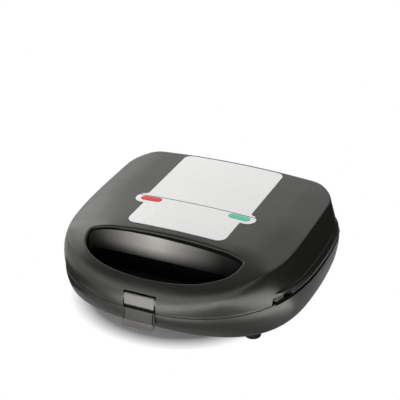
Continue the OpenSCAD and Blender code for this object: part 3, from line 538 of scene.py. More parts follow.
class Principled(Graph):
    """A new Principled material, with its plain values on the sockets."""

    def __init__(self, name, **sockets):
        self.material = bpy.data.materials.new(name)
        self.material.use_nodes = True
        super().__init__(self.material)
        self.bsdf = self.tree.nodes["Principled BSDF"]
        for key, value in sockets.items():
            socket = self.bsdf.inputs[key.replace("_", " ")]
            socket.default_value = (*value, 1) if isinstance(value, tuple) else value

    def surface(self, tone, roughness, height=None, distance=0.0, strength=0.0):
        """The finished material; its bump's distance is in millimetres."""
        self.link(tone, self.bsdf.inputs["Base Color"])
        self.link(roughness, self.bsdf.inputs["Roughness"])
        if height:
            bump = self.add("ShaderNodeBump", {
                "Height": height, "Distance": distance * MM, "Strength": strength})
            self.link(bump.outputs["Normal"], self.bsdf.inputs["Normal"])
        return self.material


def moulded(name, dark, light, rough, specular=0.5):
    """Moulded plastic: fine grain, slight tone changes, rubbed patches and hairlines."""
    g = Principled(name, Specular_IOR_Level=specular, Specular_Tint=(1.0, 0.99, 0.93))
    tone = g.colour(g.ramp(g.noise(22, 3), 0.35, 0.65), dark, light)
    hair = g.noise(300, 2, 0.5, stretch=(1, 0.06, 0.5))
    roughness = g.math("ADD", g.spread(g.noise(60, 5, 0.6), *rough),
                       g.ramp(hair, 0.62, 0.72, 0, 0.06))
    return g.surface(tone, roughness, g.noise(2600, 3, 0.6), 0.02, 0.55)


def brushed(name, colour, rough, lines, metallic=1.0):
    """Brushed or rolled sheet metal with hairlines along one axis."""
    g = Principled(name, Metallic=metallic)
    hair = g.noise(55, 6, 0.7, stretch=lines)
    cloudy = g.math("ADD", hair, g.math("MULTIPLY", g.noise(14, 2), 0.4))
    darker = tuple(c * 0.93 for c in colour)
    tone = g.colour(g.ramp(cloudy, 0.45, 0.95), darker, colour)
    return g.surface(tone, g.spread(hair, *rough), hair, 0.01, 0.25)


def lacquer_with_painted_light():
    """Satin lacquer of the opening's rear wall, with a painted highlight across its middle and
    painted shade that makes it dark at its ends and its foot.
    """
    g = Principled("scoop_painted_light", Specular_IOR_Level=0.5, Coat_Weight=0.3, Coat_Roughness=0.2)
    parts = g.add("ShaderNodeSeparateXYZ", {0: g.place}).outputs
    # Painted highlight: strongest across the middle of the wall, fading out towards its ends and
    # its foot.
    side = g.math("ABSOLUTE", g.math("ADD", parts["X"], 0.014))
    middle = g.math("POWER", g.ramp(side, 0.07, 0.004), 1.5)
    strength = g.math("MULTIPLY", middle, g.ramp(parts["Z"], 0.0595, 0.071))
    bright = g.colour(g.ramp(g.noise(30, 3), 0.35, 0.65), (0.77, 0.75, 0.70), (0.87, 0.845, 0.79))
    # Near-black painted shade where the painted highlight fades out.
    tone = g.colour(strength, (0.012, 0.012, 0.011), bright)
    return g.surface(tone, g.spread(g.noise(60, 4), 0.28, 0.36), g.noise(2600, 3, 0.6), 0.01, 0.5)


def nonstick():
    """Non-stick coating: near black, satin, with fine speckle and cloudy wear."""
    g = Principled("nonstick_coating", Specular_IOR_Level=0.6)
    cloud = g.noise(30, 4)
    base = g.colour(g.spread(cloud), (0.018, 0.018, 0.019), (0.032, 0.031, 0.031))
    speck = g.ramp(g.noise(900, 2, 0.5), 0.66, 0.72, 0, 0.5)
    tone = g.colour(speck, (0.02, 0.02, 0.02), base)
    return g.surface(tone, g.spread(cloud, 0.3, 0.42), g.noise(1500, 3, 0.6), 0.03, 0.5)


def lens(name, colour, light):
    """Tinted lamp lens: satin plastic that glows faintly in its own colour."""
    g = Principled(name, IOR=1.49, Specular_IOR_Level=0.35, Emission_Strength=0.25)
    tone = g.colour(g.spread(g.noise(240, 3)), colour, light)
    g.link(tone, g.bsdf.inputs["Emission Color"])
    return g.surface(tone, g.spread(g.noise(90, 2), 0.22, 0.32), g.noise(700, 2), 0.02, 0.3)


def plain_metal(name, colour, rough, grain=0.01):
    """Plated or drawn metal with faint tarnish."""
    g = Principled(name, Metallic=1.0)
    cloud = g.noise(120, 4)
    darker = tuple(c * 0.75 for c in colour)
    tone = g.colour(g.spread(cloud), darker, colour)
    return g.surface(tone, g.spread(cloud, *rough), g.noise(1400, 3), grain, 0.4)


def matt(name, dark, light, rough, scales=(150, 90, 1600), bump=(0.02, 0.5), **sockets):
    """Ceramic, wire or rubber, with the noise scales of its tone, roughness and bump."""
    g = Principled(name, **sockets)
    tone = g.colour(g.spread(g.noise(scales[0], 4)), dark, light)
    return g.surface(tone, g.spread(g.noise(scales[1], 3), *rough), g.noise(scales[2], 3), *bump)


def sleek(name, first, second, rough, scales, **sockets):
    """Glass or bare metal, with the noise scales of its tone and roughness."""
    g = Principled(name, **sockets)
    tone = g.colour(g.noise(scales[0], 2), first, second)
    return g.surface(tone, g.spread(g.noise(scales[1], 2), *rough))


HOUSING = moulded("housing_plastic", (0.021, 0.0205, 0.018), (0.027, 0.0265, 0.023), (0.3, 0.38),
                  specular=0.72)
# The opening's rear wall, with a painted highlight and painted shade.
SCOOP_PAINTED_LIGHT = lacquer_with_painted_light()
ENGRAVED = sleek("engraved_line", (0.1, 0.1, 0.1), (0.16, 0.16, 0.155), (0.4, 0.55), (300, 90),
                 Metallic=1.0)
LATCH = moulded("latch_plastic", (0.17, 0.166, 0.155), (0.2, 0.196, 0.182), (0.34, 0.42))
# Lit and shaded copies of the latch's plastic: a painted highlight for its upper face and painted
# shade for its lower face.
LATCH_PAINTED_HIGHLIGHT = moulded("latch_painted_highlight", (0.27, 0.262, 0.245), (0.31, 0.302, 0.283), (0.34, 0.42))
LATCH_PAINTED_SHADE = moulded("latch_painted_shade", (0.022, 0.0215, 0.02), (0.028, 0.0275, 0.025), (0.34, 0.42))
INNER = moulded("inner_plastic", (0.014, 0.014, 0.014), (0.022, 0.022, 0.022), (0.45, 0.6))
# Near-black painted shade, for the side gaps, the deep part and rim band of the grip opening, and
# the latch's seams.
SHADED = moulded("grip_lining_and_painted_shade", (0.0035, 0.0035, 0.0035), (0.005, 0.005, 0.005), (0.6, 0.7),
                 specular=0.12)
# A light line painted on the lid's bead above the side gap, as a highlight.
LIP_PAINTED_HIGHLIGHT = moulded("lip_painted_highlight", (0.3, 0.297, 0.285), (0.36, 0.355, 0.34), (0.3, 0.38))
RELEASE = moulded("release_plastic", (0.24, 0.235, 0.22), (0.28, 0.275, 0.255), (0.3, 0.38))
CARRIER = moulded("carrier_plastic", (0.55, 0.54, 0.5), (0.62, 0.61, 0.57), (0.4, 0.55))
PANEL = brushed("brushed_panel", (0.93, 0.93, 0.92), (0.26, 0.34), (90, 1.2, 1.2), metallic=0.5)
REFLECTOR = brushed("rolled_steel", (0.72, 0.72, 0.73), (0.18, 0.3), (3, 60, 3))
SPRING = plain_metal("spring_steel", (0.6, 0.6, 0.62), (0.22, 0.4))
PIN = plain_metal("pin_steel", (0.66, 0.66, 0.67), (0.18, 0.3))
SCREW = plain_metal("zinc_plate", (0.62, 0.63, 0.64), (0.28, 0.45))
HEATER = plain_metal("heater_tube", (0.32, 0.29, 0.27), (0.4, 0.6), 0.02)
NONSTICK = nonstick()
RUBBER = matt("soft_rubber", (0.012, 0.012, 0.012), (0.028, 0.027, 0.026), (0.6, 0.78),
              (60, 120, 1800), (0.03, 0.6), Specular_IOR_Level=0.35)
RED = lens("red_lens", (0.58, 0.026, 0.018), (0.66, 0.036, 0.026))
GREEN = lens("green_lens", (0.07, 0.44, 0.28), (0.1, 0.52, 0.34))
CERAMIC = matt("steatite", (0.72, 0.68, 0.6), (0.8, 0.77, 0.7), (0.4, 0.6))
SLEEVE = matt("sleeve_weave", (0.6, 0.56, 0.46), (0.72, 0.69, 0.6), (0.7, 0.85))
WIRE = matt("wire_insulation", (0.42, 0.06, 0.03), (0.5, 0.09, 0.05), (0.5, 0.65))
GLASS = sleek("neon_glass", (0.95, 0.9, 0.86), (0.85, 0.8, 0.78), (0.04, 0.12), (200, 80),
              Transmission_Weight=0.85, IOR=1.5)


def dress(obj, material, body, slot, *stands_for):
    """Gives a new piece its material and body, and hides the CAD nodes it stands for. Its slot is
    not used.
    """
    obj.data.materials.clear()
    obj.data.materials.append(material)
    for face in obj.data.polygons:
        face.material_index = 0
    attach(obj, body)
    if stands_for:
        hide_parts(*stands_for)
    return obj


def zones(obj, materials, pick):
    """Further materials; pick gives each face its number from its centre in mm and normal."""
    for material in materials:
        obj.data.materials.append(material)
    for face in obj.data.polygons:
        face.material_index = pick(face.center / MM, face.normal)
    return obj


def paint(node, material, width=0.25, angle=30):
    """A CAD node that stays, with its own material and rounded edges."""
    obj = nodes[node]
    obj.data.materials.clear()
    obj.data.materials.append(material)
    shade(obj, angle)
    if width:
        round_edges(obj, width, angle)


# ---- camera, light and floor

# The photograph's camera: place in millimetres, right and up axes, focal length in pixels.
camera_place = (434.048, -960.556, 668.220)
camera_right = Vector((0.914306, 0.405025, 0.0))
camera_up = Vector((-0.192323, 0.434151, 0.880071))
focal_pixels = 1261.0
image_pixels = 400
sensor_mm = 36.0

# World light: full round the horizon, low overhead and lower in front.
horizon_level = 1.0
zenith_level = 0.08
horizon_height, zenith_height = 0.57, 0.76
front_cut = 0.3

# The floor is lifted a little for the camera, and weaker in reflections.
floor_half = 6000
floor_lift = 0.02
glossy_share = 0.1


def add_camera():
    data = bpy.data.cameras.new("photo_camera")
    data.sensor_width = sensor_mm
    data.lens = focal_pixels / image_pixels * sensor_mm
    data.clip_start = 0.05
    data.clip_end = 30
    obj = add_object("photo_camera", data)
    back = camera_right.cross(camera_up)
    turn = Matrix((camera_right, camera_up, back)).transposed().to_4x4()
    obj.matrix_world = Matrix.Translation(Vector(camera_place) * MM) @ turn
    bpy.context.scene.camera = obj


def area_light(name, place, target, size, watts, diffuse=True, glossy=True):
    """Rectangular lamp in metres that the camera doesn't see."""
    data = bpy.data.lights.new(name, "AREA")
    data.shape = "RECTANGLE"
    data.size, data.size_y = size
    data.energy = watts
    obj = add_object(name, data)
    obj.location = place
    obj.rotation_euler = (Vector(target) - Vector(place)).to_track_quat("-Z", "Y").to_euler()
    obj.visible_camera = False
    obj.visible_diffuse = diffuse
    obj.visible_glossy = glossy


def stage_world():
    """White for the camera; else bright round the horizon and dim overhead."""
    world = bpy.data.worlds.new("studio")
    bpy.context.scene.world = world
    world.use_nodes = True
    g = Graph(world)
    way = g.add("ShaderNodeSeparateXYZ", {0: g.coordinates.outputs["Generated"]}).outputs
    height = g.math("ADD", way["Z"], g.ramp(way["Y"], 0, -1, 0, front_cut))
    level = g.add("ShaderNodeMapRange", {
        "Value": height, "From Min": horizon_height, "From Max": zenith_height,
        "To Min": horizon_level, "To Max": zenith_level}, interpolation_type="SMOOTHSTEP")
    camera_ray = g.add("ShaderNodeLightPath").outputs["Is Camera Ray"]
    strength = g.add("ShaderNodeMix", {
        "Factor": camera_ray, "A": level.outputs[0], "B": 1.0}, data_type="FLOAT")
    background = g.tree.nodes["Background"]
    background.inputs["Color"].default_value = (1, 1, 1, 1)
    g.link(strength.outputs["Result"], background.inputs["Strength"])


def stage_card(name, points, glossy=True):
    """Black card with four corners, out of the camera's sight."""
    card = new_object(name, points, [[0, 1, 2, 3]])
    black = Principled(name + "_black", Base_Color=(0.01, 0.01, 0.01), Roughness=1.0,
                       Specular_IOR_Level=0.0)
    card.data.materials.append(black.material)
    card.visible_camera = False
    card.visible_shadow = False
    card.visible_glossy = glossy


def stage_floor():
    """Pale floor with the object's shadow, white further out and clear from below."""
    corners = [(x * floor_half, y * floor_half, 0) for x, y in ((-1, -1), (1, -1), (1, 1), (-1, 1))]
    floor = new_object("floor", corners, [[0, 1, 2, 3]])
    g = Principled("floor_paper", Base_Color=(0.86, 0.86, 0.86), Roughness=0.9,
                   Specular_IOR_Level=0.1)
    rays = g.add("ShaderNodeLightPath").outputs
    seen = g.math("MAXIMUM", rays["Is Camera Ray"],
                  g.math("MULTIPLY", rays["Is Glossy Ray"], glossy_share))
    lift = g.add("ShaderNodeEmission", {"Strength": g.math("MULTIPLY", seen, floor_lift)})
    near = g.add("ShaderNodeAddShader", {0: g.bsdf.outputs[0], 1: lift.outputs[0]})
    white = g.add("ShaderNodeEmission")
    # An oval with radii of 100 and 92 mm, 12 mm to the left and front.
    oval = g.add("ShaderNodeMapping", {
        "Vector": g.place, "Location": (0.12, 0.13, 0), "Scale": (1 / 0.1, 1 / 0.092, 1)})
    distance = g.add("ShaderNodeVectorMath", {0: oval.outputs[0]}, operation="LENGTH")
    far = g.ramp(distance.outputs["Value"], 0.85, 1.06)
    above = g.add("ShaderNodeMixShader", {
        "Fac": g.math("MULTIPLY", seen, far), 1: near.outputs[0], 2: white.outputs[0]})
    clear = g.add("ShaderNodeBsdfTransparent")
    below = g.add("ShaderNodeNewGeometry").outputs["Backfacing"]
    both = g.add("ShaderNodeMixShader", {"Fac": below, 1: above.outputs[0], 2: clear.outputs[0]})
    g.link(both.outputs[0], g.tree.nodes["Material Output"].inputs["Surface"])
    floor.data.materials.append(g.material)


add_camera()
stage_world()
stage_floor()

# Black cards keep the right flank and the base's left dark.
stage_card("card_right", [(520, -330, 0), (60, 620, 0), (60, 620, 190), (520, -330, 190)])
stage_card("card_floor", [(134, -150, 1), (520, -330, 1), (60, 620, 1), (126, 100, 1)],
           glossy=False)
stage_card("card_floor_left", [(-185, -170, 1), (-118, -170, 1), (-118, -20, 1), (-185, -20, 1)])
area_light("left_rear", (-1.1, 0.6, 0.75), (0, 0, 0.05), (0.9, 0.7), 3.5)
area_light("rear_key", (0.2, 1.3, 0.8), (0, 0, 0.05), (0.5, 0.3), 14, glossy=False)
stage_card("card_floor_far", [(215, -60, 2), (520, -330, 2), (60, 620, 2), (152, 112, 2)])
area_light("front_strip", (-0.15, -1.3, 0.16), (0, -0.08, 0.06), (1.7, 0.3), 1.4, diffuse=False)
area_light("front_fill", (-0.15, -1.3, 0.42), (0, -0.08, 0.06), (1.7, 0.36), 4, glossy=False)
area_light("low_right", (0.2, -0.1, 0.004), (0.2, -0.1, 1), (0.12, 0.18), 0.17, diffuse=False)
area_light("low_front", (0.06, -0.24, 0.004), (0.06, -0.24, 1), (0.3, 0.1), 0.42, diffuse=False)
bpy.context.scene.view_settings.view_transform = "Standard"


# ---- lid

# Insets of the top's rings from its edge: at the sides, in front and behind.
TOP_INSETS = ((1.5, 1.5, 1.2), (6, 6, 3), (13, 14, 5), (19, 22, 7), (24, 32, 10), (40, 46, 22),
              (62, 64, 40), (88, 84, 56))
TOP_STEPS = (3, 4.5, 6, 8, 10, 12, 14, 16, 18, 20, 22, 24, 27, 30, 34, 40, 46, 54, 62, 74, 88)
CAVITY_INSETS = ((6, 6, 4), (19, 22, 8), (40, 46, 22), (70, 70, 46))
# The wall's foot with its two beads: share of the height, and outward move.
WALL_BEADS = ((0.064, 0.25), (0.068, 0.75), (0.077, 0.95), (0.088, 0.85), (0.096, 0.3),
              (0.11, 0.3), (0.15, 0.7), (0.2, 1.0), (0.25, 1.15), (0.275, 1.0), (0.29, 0.35),
              (0.31, 0))
GRIP_STEPS = 120


def lid_outer():
    rings = [foot_ring(parting_z + half_gap, shadow_depth),
             foot_ring(parting_z + shadow_height, shadow_depth)]
    rings += [wall_ring(share, out=out) for share, out in WALL_BEADS]
    rings += [wall_ring(0.34 + 0.04 * k) for k in range(16)]
    below, edge, above = wall_ring(0.965), wall_ring(1.0), top_ring(*TOP_INSETS[0])
    rings += [below] + curve_rings(below, edge, above) + [above]
    rings += [top_ring(*table_at(TOP_INSETS, side)) for side in TOP_STEPS]
    return loft("lid_housing", rings, (0, peak_y, lid_z(0, peak_y)))


def lid_cavity():
    low = drawn_in(PARTING, shadow_depth + lid_wall - 0.4)
    rings = [flat_ring(low, parting_z - 2), flat_ring(low, parting_z + 3.4)]
    rings += [wall_ring(share, lid_wall) for share in (0.22, 0.45, 0.7, 0.9, 0.97)]
    rings += [top_ring(*insets, lid_wall) for insets in CAVITY_INSETS]
    return loft("lid_cavity", rings, (0, peak_y, lid_z(0, peak_y) - lid_wall))


def grip_half(rear, inset):
    """Power and reach of the oval's rear half, drawn in by inset, or of its front half."""
    if rear:
        return grip_rear_power, grip_rear - inset
    return grip_front_power, grip_front


def grip_ring(out, inset, z):
    """Outline of the grip opening, moved out, with its rear edge drawn in by inset."""
    ring = []
    for i in range(GRIP_STEPS):
        a = -2 * math.pi * i / GRIP_STEPS
        power, reach = grip_half(math.sin(a) >= 0, inset)
        ring.append(((grip_half_width + out) * signed_power(math.cos(a), 2 / power),
                     grip_tip_y + (reach + out) * signed_power(math.sin(a), 2 / power), z))
    return ring


def grip_lining_and_painted_shade():
    """The opening with its wall, which the lid's cavity leaves standing."""
    return loft("grip_lining_and_painted_shade", [grip_ring(grip_wall, grip_foot_inset, parting_z - 4),
                                grip_ring(grip_wall, grip_foot_inset, grip_step_z),
                                grip_ring(grip_wall, grip_top_inset, grip_top_z)])


def shade_depth(x):
    """Depth of the shaded band under the rear rim, below the lid's top."""
    return mix(4.0, 6.0, smooth((x + 75) / 110))


def rim_ring(out, down, band):
    """Ring of the rim: moved out, below the lid's top, and by a share of the shaded band."""
    ring = []
    for (x0, y0, _), (x1, y1, _) in zip(grip_ring(out, grip_foot_inset, 0),
                                        grip_ring(out, grip_top_inset, 0)):
        z = lid_z(x1, y1) - down - band * shade_depth(x1)
        t = max(0.0, (z - grip_step_z) / (grip_top_z - grip_step_z))
        ring.append((mix(x0, x1, t), mix(y0, y1, t), z))
    return ring


def grip_volume():
    """The opening, with a groove and a rounded rim that follow the lid's top."""
    rings = [grip_ring(0, grip_foot_inset, parting_z - 4),
             grip_ring(0, grip_foot_inset, grip_step_z - 0.01)]
    for k in range(1, 6):
        inset = mix(grip_foot_inset, grip_top_inset, k / grip_lean_height)
        rings.append(grip_ring(0, inset, grip_step_z + k))
    rings += [rim_ring(0, 2.4, 1), rim_ring(0, 0, 1)]
    rings += [rim_ring(out, down, 0) for out, down in ((0, 3.4), (0.9, 3.2), (0.9, 2.2), (0, 2))]
    for a in (math.pi / 2 * k / 6 for k in range(7)):
        rings.append(rim_ring(rim_radius * (1 - math.cos(a)), rim_radius * (1 - math.sin(a)), 0))
    rings += [rim_ring(1.9, -1, 0), rim_ring(1.9, -8, 0)]
    return loft("grip_volume", rings)


def grip_share(x, y, z):
    """0 in the middle of the grip opening to 1 on its wall."""
    t = max(0.0, min(1.0, (z - grip_step_z) / grip_lean_height))
    power, reach = grip_half(y >= grip_tip_y, mix(grip_foot_inset, grip_top_inset, t))
    return (abs(x) / grip_half_width) ** power + (abs(y - grip_tip_y) / reach) ** power


def panel_outline(out=0.0):
    """Counter-clockwise outline of the trim panel with its lamp ears, moved out."""
    width, front_width = panel_half_width + out, panel_front_half_width + out
    corner, front_corner = panel_corner + out, 1.3 * (panel_corner + out)
    radius = ear_radius + out
    ear_x, ear_y = ear_half_width + out - radius, lamp_y + ear_shift_y
    low, high = (math.acos(min(1, (x - ear_x) / radius)) for x in (front_width, width))
    ear = [Vector((ear_x + radius * math.cos(a), ear_y + radius * math.sin(a))) for a in
           (mix(-low, high, i / 24) for i in range(25))]
    quarter = [math.pi / 2 * i / 8 for i in range(9)]
    half = [(front_width - front_corner + front_corner * math.sin(a),
             panel_front_y - out + front_corner - front_corner * math.cos(a)) for a in quarter]
    half += [(front_width, ear[0].y - ear_blend), (front_width + 0.25, ear[0].y - ear_blend * 0.45)]
    half += [tuple(p) for p in ear[1:-1]]
    half += [(width + 0.25, ear[-1].y + ear_blend * 0.45), (width, ear[-1].y + ear_blend)]
    half += [(width - corner + corner * math.cos(a),
              panel_rear_y + out - corner + corner * math.sin(a)) for a in quarter]
    loop = half + [(-x, y) for x, y in half[::-1]]
    fine = []
    for (x0, y0), (x1, y1) in zip(loop, loop[1:] + loop[:1]):
        pieces = max(1, round(math.hypot(x1 - x0, y1 - y0) / 3))
        fine += [(mix(x0, x1, k / pieces), mix(y0, y1, k / pieces)) for k in range(pieces)]
    return fine


def within(point, loops):
    """True inside the first loop and outside the others."""
    odd = False
    for loop in loops:
        for (x0, y0), (x1, y1) in zip(loop, loop[1:] + loop[:1]):
            crosses = (y0 > point.y) != (y1 > point.y)
            if crosses and point.x < (x1 - x0) * (point.y - y0) / (y1 - y0) + x0:
                odd = not odd
    return odd


def crown_slab(name, profile, low, high, holes=(), step=4.0):
    """Sheet between two heights over the crown, with evenly spaced inner points."""
    loops = [list(profile)] + [list(hole)[::-1] for hole in holes]
    flat = [Vector(p) for loop in loops for p in loop]
    edges = []
    start = 0
    for loop in loops:
        edges += [(start + j, start + (j + 1) % len(loop)) for j in range(len(loop))]
        start += len(loop)
    xs, ys = [p.x for p in flat], [p.y for p in flat]
    count_x = int((max(xs) - min(xs)) / step)
    count_y = int((max(ys) - min(ys)) / step)
    grid = [Vector((mix(min(xs), max(xs), (i + 0.5) / count_x),
                    mix(min(ys), max(ys), (j + 0.5) / count_y)))
            for i in range(count_x) for j in range(count_y)]
    away = [p for p in grid if min((p - q).length for q in flat) > step * 0.4]
    points, _, faces, *_ = delaunay_2d_cdt(flat + away, edges, [], 1, 1e-5)
    inside = [face for face in faces
              if within(sum((points[k] for k in face), Vector((0, 0))) / len(face), loops)]
    n = len(points)
    solid = [(p.x, p.y, crown_z(p.x) + high) for p in points]
    solid += [(p.x, p.y, crown_z(p.x) + low) for p in points]
    shell = [list(face) for face in inside] + [[k + n for k in face][::-1] for face in inside]
    directed = {(a, b) for face in inside for a, b in zip(face, face[1:] + face[:1])}
    for a, b in directed:
        if (b, a) not in directed:
            shell.append([b, a, a + n, b + n])
    return new_object(name, solid, shell)


def lamp_hole(side):
    """Room for one lens through the lid."""
    shape = pill(lens_length + 0.5, lens_width + 0.5, (0, lamp_y))
    return prism("lamp_hole", shape, -8, 8, crown_place(side * lamp_x))


def lid_material(centre, normal):
    """Material of a lid face: 0 housing, 1 lacquer with painted highlight and shade, 2 near-black
    painted shade, 3 lip with a painted highlight.
    """
    # Painted shade on the faces along the side gap.
    if centre.y > gap_front_y + 2 and centre.z < parting_z + shadow_height + 0.05:
        return 2
    # Painted highlight on the bead just above the side gap.
    if centre.y > gap_front_y + 8 and parting_z + lip_low < centre.z < parting_z + lip_high:
        return 3
    depth = lid_z(centre.x, centre.y) - centre.z
    if abs(grip_share(*centre) - 1) > 0.2 or depth < 1.9:
        return 0
    # In the opening: painted shade at its foot, in the band under its rear rim and on its front
    # half; the rest of its wall gets the lacquer with painted light.
    shaded = centre.z < grip_step_z or depth < shade_depth(centre.x) + 0.4
    return 2 if shaded or centre.y < grip_tip_y - 3 else 1


def make_lid():
    fillings = [grip_lining_and_painted_shade(),
                block("latch_block", (-20.5, -116, parting_z - 3), (20.5, -104.6, 63))]
    cavity = combine(lid_cavity(), fillings + hinge_blocks(115, parting_z + 3.2, parting_z + 12.2))
    lid = combine(lid_outer(), [cavity, grip_volume()])
    pocket = latch_half_width + latch_room
    tools = [crown_slab("seat", panel_outline(panel_room), panel_low, 4, step=12),
             lamp_hole(-1), lamp_hole(1),
             block("latch_pocket", (-pocket, -130, parting_z - 4), (pocket, -107.2, 61)),
             block("release_slot", (release_inner_x, release_front_y, parting_z - 0.7),
                   (release_outer_x, release_rear_y, 51.4))]
    for x in HINGES:
        for side in (-1, 1):
            tools.append(hinge_rod("barrel_room", barrel_radius + barrel_room,
                                   base_barrel_half + 0.6, x + side * base_barrel_x))
    lid = combine(lid, tools)
    barrels = hinge_barrels((0,), lid_barrel_half, 112.4, parting_z + 1, parting_z + 10)
    lid = combine(lid, barrels, "UNION")
    soften(lid, 0.35, 40, weighted=True)
    dress(lid, HOUSING, "lid", "housing", "lid_shell")
    zones(lid, [SCOOP_PAINTED_LIGHT, SHADED, LIP_PAINTED_HIGHLIGHT], lid_material)


def panel_material(centre, normal):
    """1 at the bottom of the panel's groove and 0 elsewhere."""
    across = groove_front_y - 0.05 < centre.y < groove_rear_y + 0.05
    return int(across and normal.z > 0.5 and centre.z < crown_z(centre.x) + 0.1)


def make_panel():
    shape = pill(lens_length + lens_room, lens_width + lens_room, (0, lamp_y))
    holes = [[(x + side * lamp_x, y) for x, y in shape] for side in (-1, 1)]
    sheet = crown_slab("trim_sheet", panel_outline(), panel_low, panel_high, holes)
    across = [mix(-groove_half, groove_half, k / 41) for k in range(42)]
    line = [(x, groove_front_y) for x in across] + [(x, groove_rear_y) for x in across[::-1]]
    combine(sheet, [crown_slab("groove", line, 0.0, 2, step=3)])
    soften(sheet, 0.12, 40)
    dress(sheet, PANEL, "lid", "brushed_panel", "trim_panel")
    zones(sheet, [ENGRAVED], panel_material)


# Rows of a lens: inset of its outline, and height over the crown.
LENS_ROWS = ((-1.8, -4.4), (-1.8, -3.2), (0, -3.2), (0, 0.3), (0.08, 0.44), (0.25, 0.54),
             (0.6, 0.59), (1.4, 0.6))


def make_lens(name, side, material, slot):
    """Pill-shaped lens with a softly domed top and a hidden flange."""
    place = crown_place(side * lamp_x)
    rings = []
    for inset, z in LENS_ROWS:
        shape = pill(lens_length - 2 * inset, lens_width - 2 * inset, (0, lamp_y))
        rings.append([place @ Vector((x, y, z)) for x, y in shape[::-1]])
    obj = soften(loft(name, rings), 0, 32)
    dress(obj, material, "lid", slot, "lens_red" if side < 0 else "lens_green")


# ---- base

# Levels of the base's wall: height, and the six values of its shape there.
BASE_LEVELS = (
    (belly_z, 108, 99, 101, -70, 3.2, 30), (belly_z + 2, 115, 106.5, 108, -80, 3.1, 33),
    (13, 120, 111.5, 112.5, -90.5, 3, 35), (20, 122.2, 113.6, 114.2, -100.5, 2.75, 36),
    (28, 123.6, 114.8, 115.2, -109.5, 2.55, 37), (36, 124.6, 115.6, 116, -115.2, 2.45, 37.5),
    (parting_z - half_gap, *PARTING))
BASE_HEIGHTS = (belly_z, 6.6, 7.3, 8, 9.2, 10.6, 12, 14, 16, 18, 20, 22.5, 25, 28, 31, 34, 37, 40)
# The base's rim: distance below its top, inset along the shadow gap, and inset in front.
BASE_RIM = ((1.95, 0, 0), (1.8, 0.15, 0), (1.75, 0.4, 0), (1.74, base_rebate, 0),
            (0.6, base_rebate, 0), (0.25, 1.85, 0.1), (0.07, 2, 0.3), (0, 2.2, 0.6))
FEET = ("foot_front_left", "foot_front_right", "foot_rear_left", "foot_rear_right")
# A foot's section, as radius and height: rounded tread and sunk screw hole.
FOOT_SECTION = ((3.4, 2.4), (3.4, 0.25), (3.65, 0.0), (6.9, 0.0), (7.6, 0.3), (7.95, 1.0),
                (8.0, 1.8), (8.0, 4.3), (7.8, 4.6), (7.0, 6.0), (1.8, 6.0), (1.8, 2.4))


def level_shape(z):
    """Catmull-Rom through the base levels, which keeps the wall smooth."""
    rows = BASE_LEVELS
    k = max(i for i in range(len(rows) - 1) if rows[i][0] <= z + 1e-6)
    before, here, above = rows[max(0, k - 1)], rows[k], rows[k + 1]
    after = rows[min(len(rows) - 1, k + 2)]
    height = above[0] - here[0]
    t = (z - here[0]) / height
    values = []
    for j in range(1, 7):
        slope = (above[j] - before[j]) / max(1e-6, above[0] - before[0]) * height
        next_slope = (after[j] - here[j]) / max(1e-6, after[0] - here[0]) * height
        values.append((2 * t ** 3 - 3 * t * t + 1) * here[j] + (t ** 3 - 2 * t * t + t) * slope
                      + (-2 * t ** 3 + 3 * t * t) * above[j] + (t ** 3 - t * t) * next_slope)
    return Shape(*values)


def rim_of_base(below, gap_inset, inset):
    z = parting_z - half_gap - below
    shape = level_shape(z)
    return along_gap(flat_ring(drawn_in(shape, inset), z), flat_ring(drawn_in(shape, gap_inset), z))


def base_outer():
    rings = [flat_ring(level_shape(z), z) for z in BASE_HEIGHTS]
    rings += [rim_of_base(*row) for row in BASE_RIM]
    return loft("base_housing", rings)


def base_cavity():
    rings = []
    for i, (z, *values) in enumerate(BASE_LEVELS[:-1]):
        floor_z = max(belly_z + base_wall, z + (1.6 if i < 3 else 0.6) + i * 0.01)
        rings.append(flat_ring(drawn_in(Shape(*values), base_wall), floor_z))
    rings.append(flat_ring(drawn_in(PARTING, base_wall), parting_z + 2))
    return loft("base_cavity", rings)


def foot_place(node):
    centre = centre_of(node)
    return Matrix.Translation((centre.x, centre.y, 0))


def make_base():
    gland = centre_of("cord_gland")
    fillings = [block("catch_block", (-20, -120, 29), (20, -109.5, parting_z))]
    fillings += hinge_blocks(119, 30, parting_z - 3.2)
    fillings.append(lathe("gland_boss", [(8, 109), (8, 118)], along_y(gland.x, gland.z)))
    cavity = combine(base_cavity(), fillings)
    bosses = [lathe("foot_boss", [(9.2, belly_z), (9.2, belly_z + 8)], foot_place(node))
              for node in FEET]
    shell = combine(base_outer(), bosses, "UNION")
    channel = latch_half_width + latch_room
    tools = [cavity,
             block("latch_channel", (-channel, -130, 26), (channel, -113.4, 56)),
             lathe("gland_hole", [(5.05, 100), (5.05, 130)], along_y(gland.x, gland.z)),
             block("release_slot", (-release_outer_x, release_front_y, parting_z - 7.4),
                   (-release_inner_x, release_rear_y, 56))]
    for x in HINGES:
        tools.append(hinge_rod("barrel_room", barrel_radius + barrel_room,
                               lid_barrel_half + 0.4, x))
        for side in (-1, 1):
            tools.append(hinge_rod("head_room", 2.9, 1.6, x + side * pin_head_x))
    for y in (-46, -34):
        for k in range(6):
            tools.append(prism("vent", pill(12, 3, (-45 + 18 * k, y)), 0, 12))
    shell = combine(shell, tools)
    extra = [block("catch_ridge", (-12, -114.4, 36.4), (12, -113.2, 38.6))]
    extra += hinge_barrels((-base_barrel_x, base_barrel_x), base_barrel_half, 113.8,
                           parting_z - 10, parting_z - 0.5)
    shell = combine(shell, extra, "UNION")
    soften(shell, 0.35, 40, weighted=True)
    dress(shell, HOUSING, "base", "housing", "base_shell")
    # Near-black painted shade on the rebate's faces along the side gap.
    rebate_z = parting_z - half_gap - 1.745
    zones(shell, [SHADED],
          lambda centre, normal: int(centre.y > gap_front_y + 2 and centre.z > rebate_z))


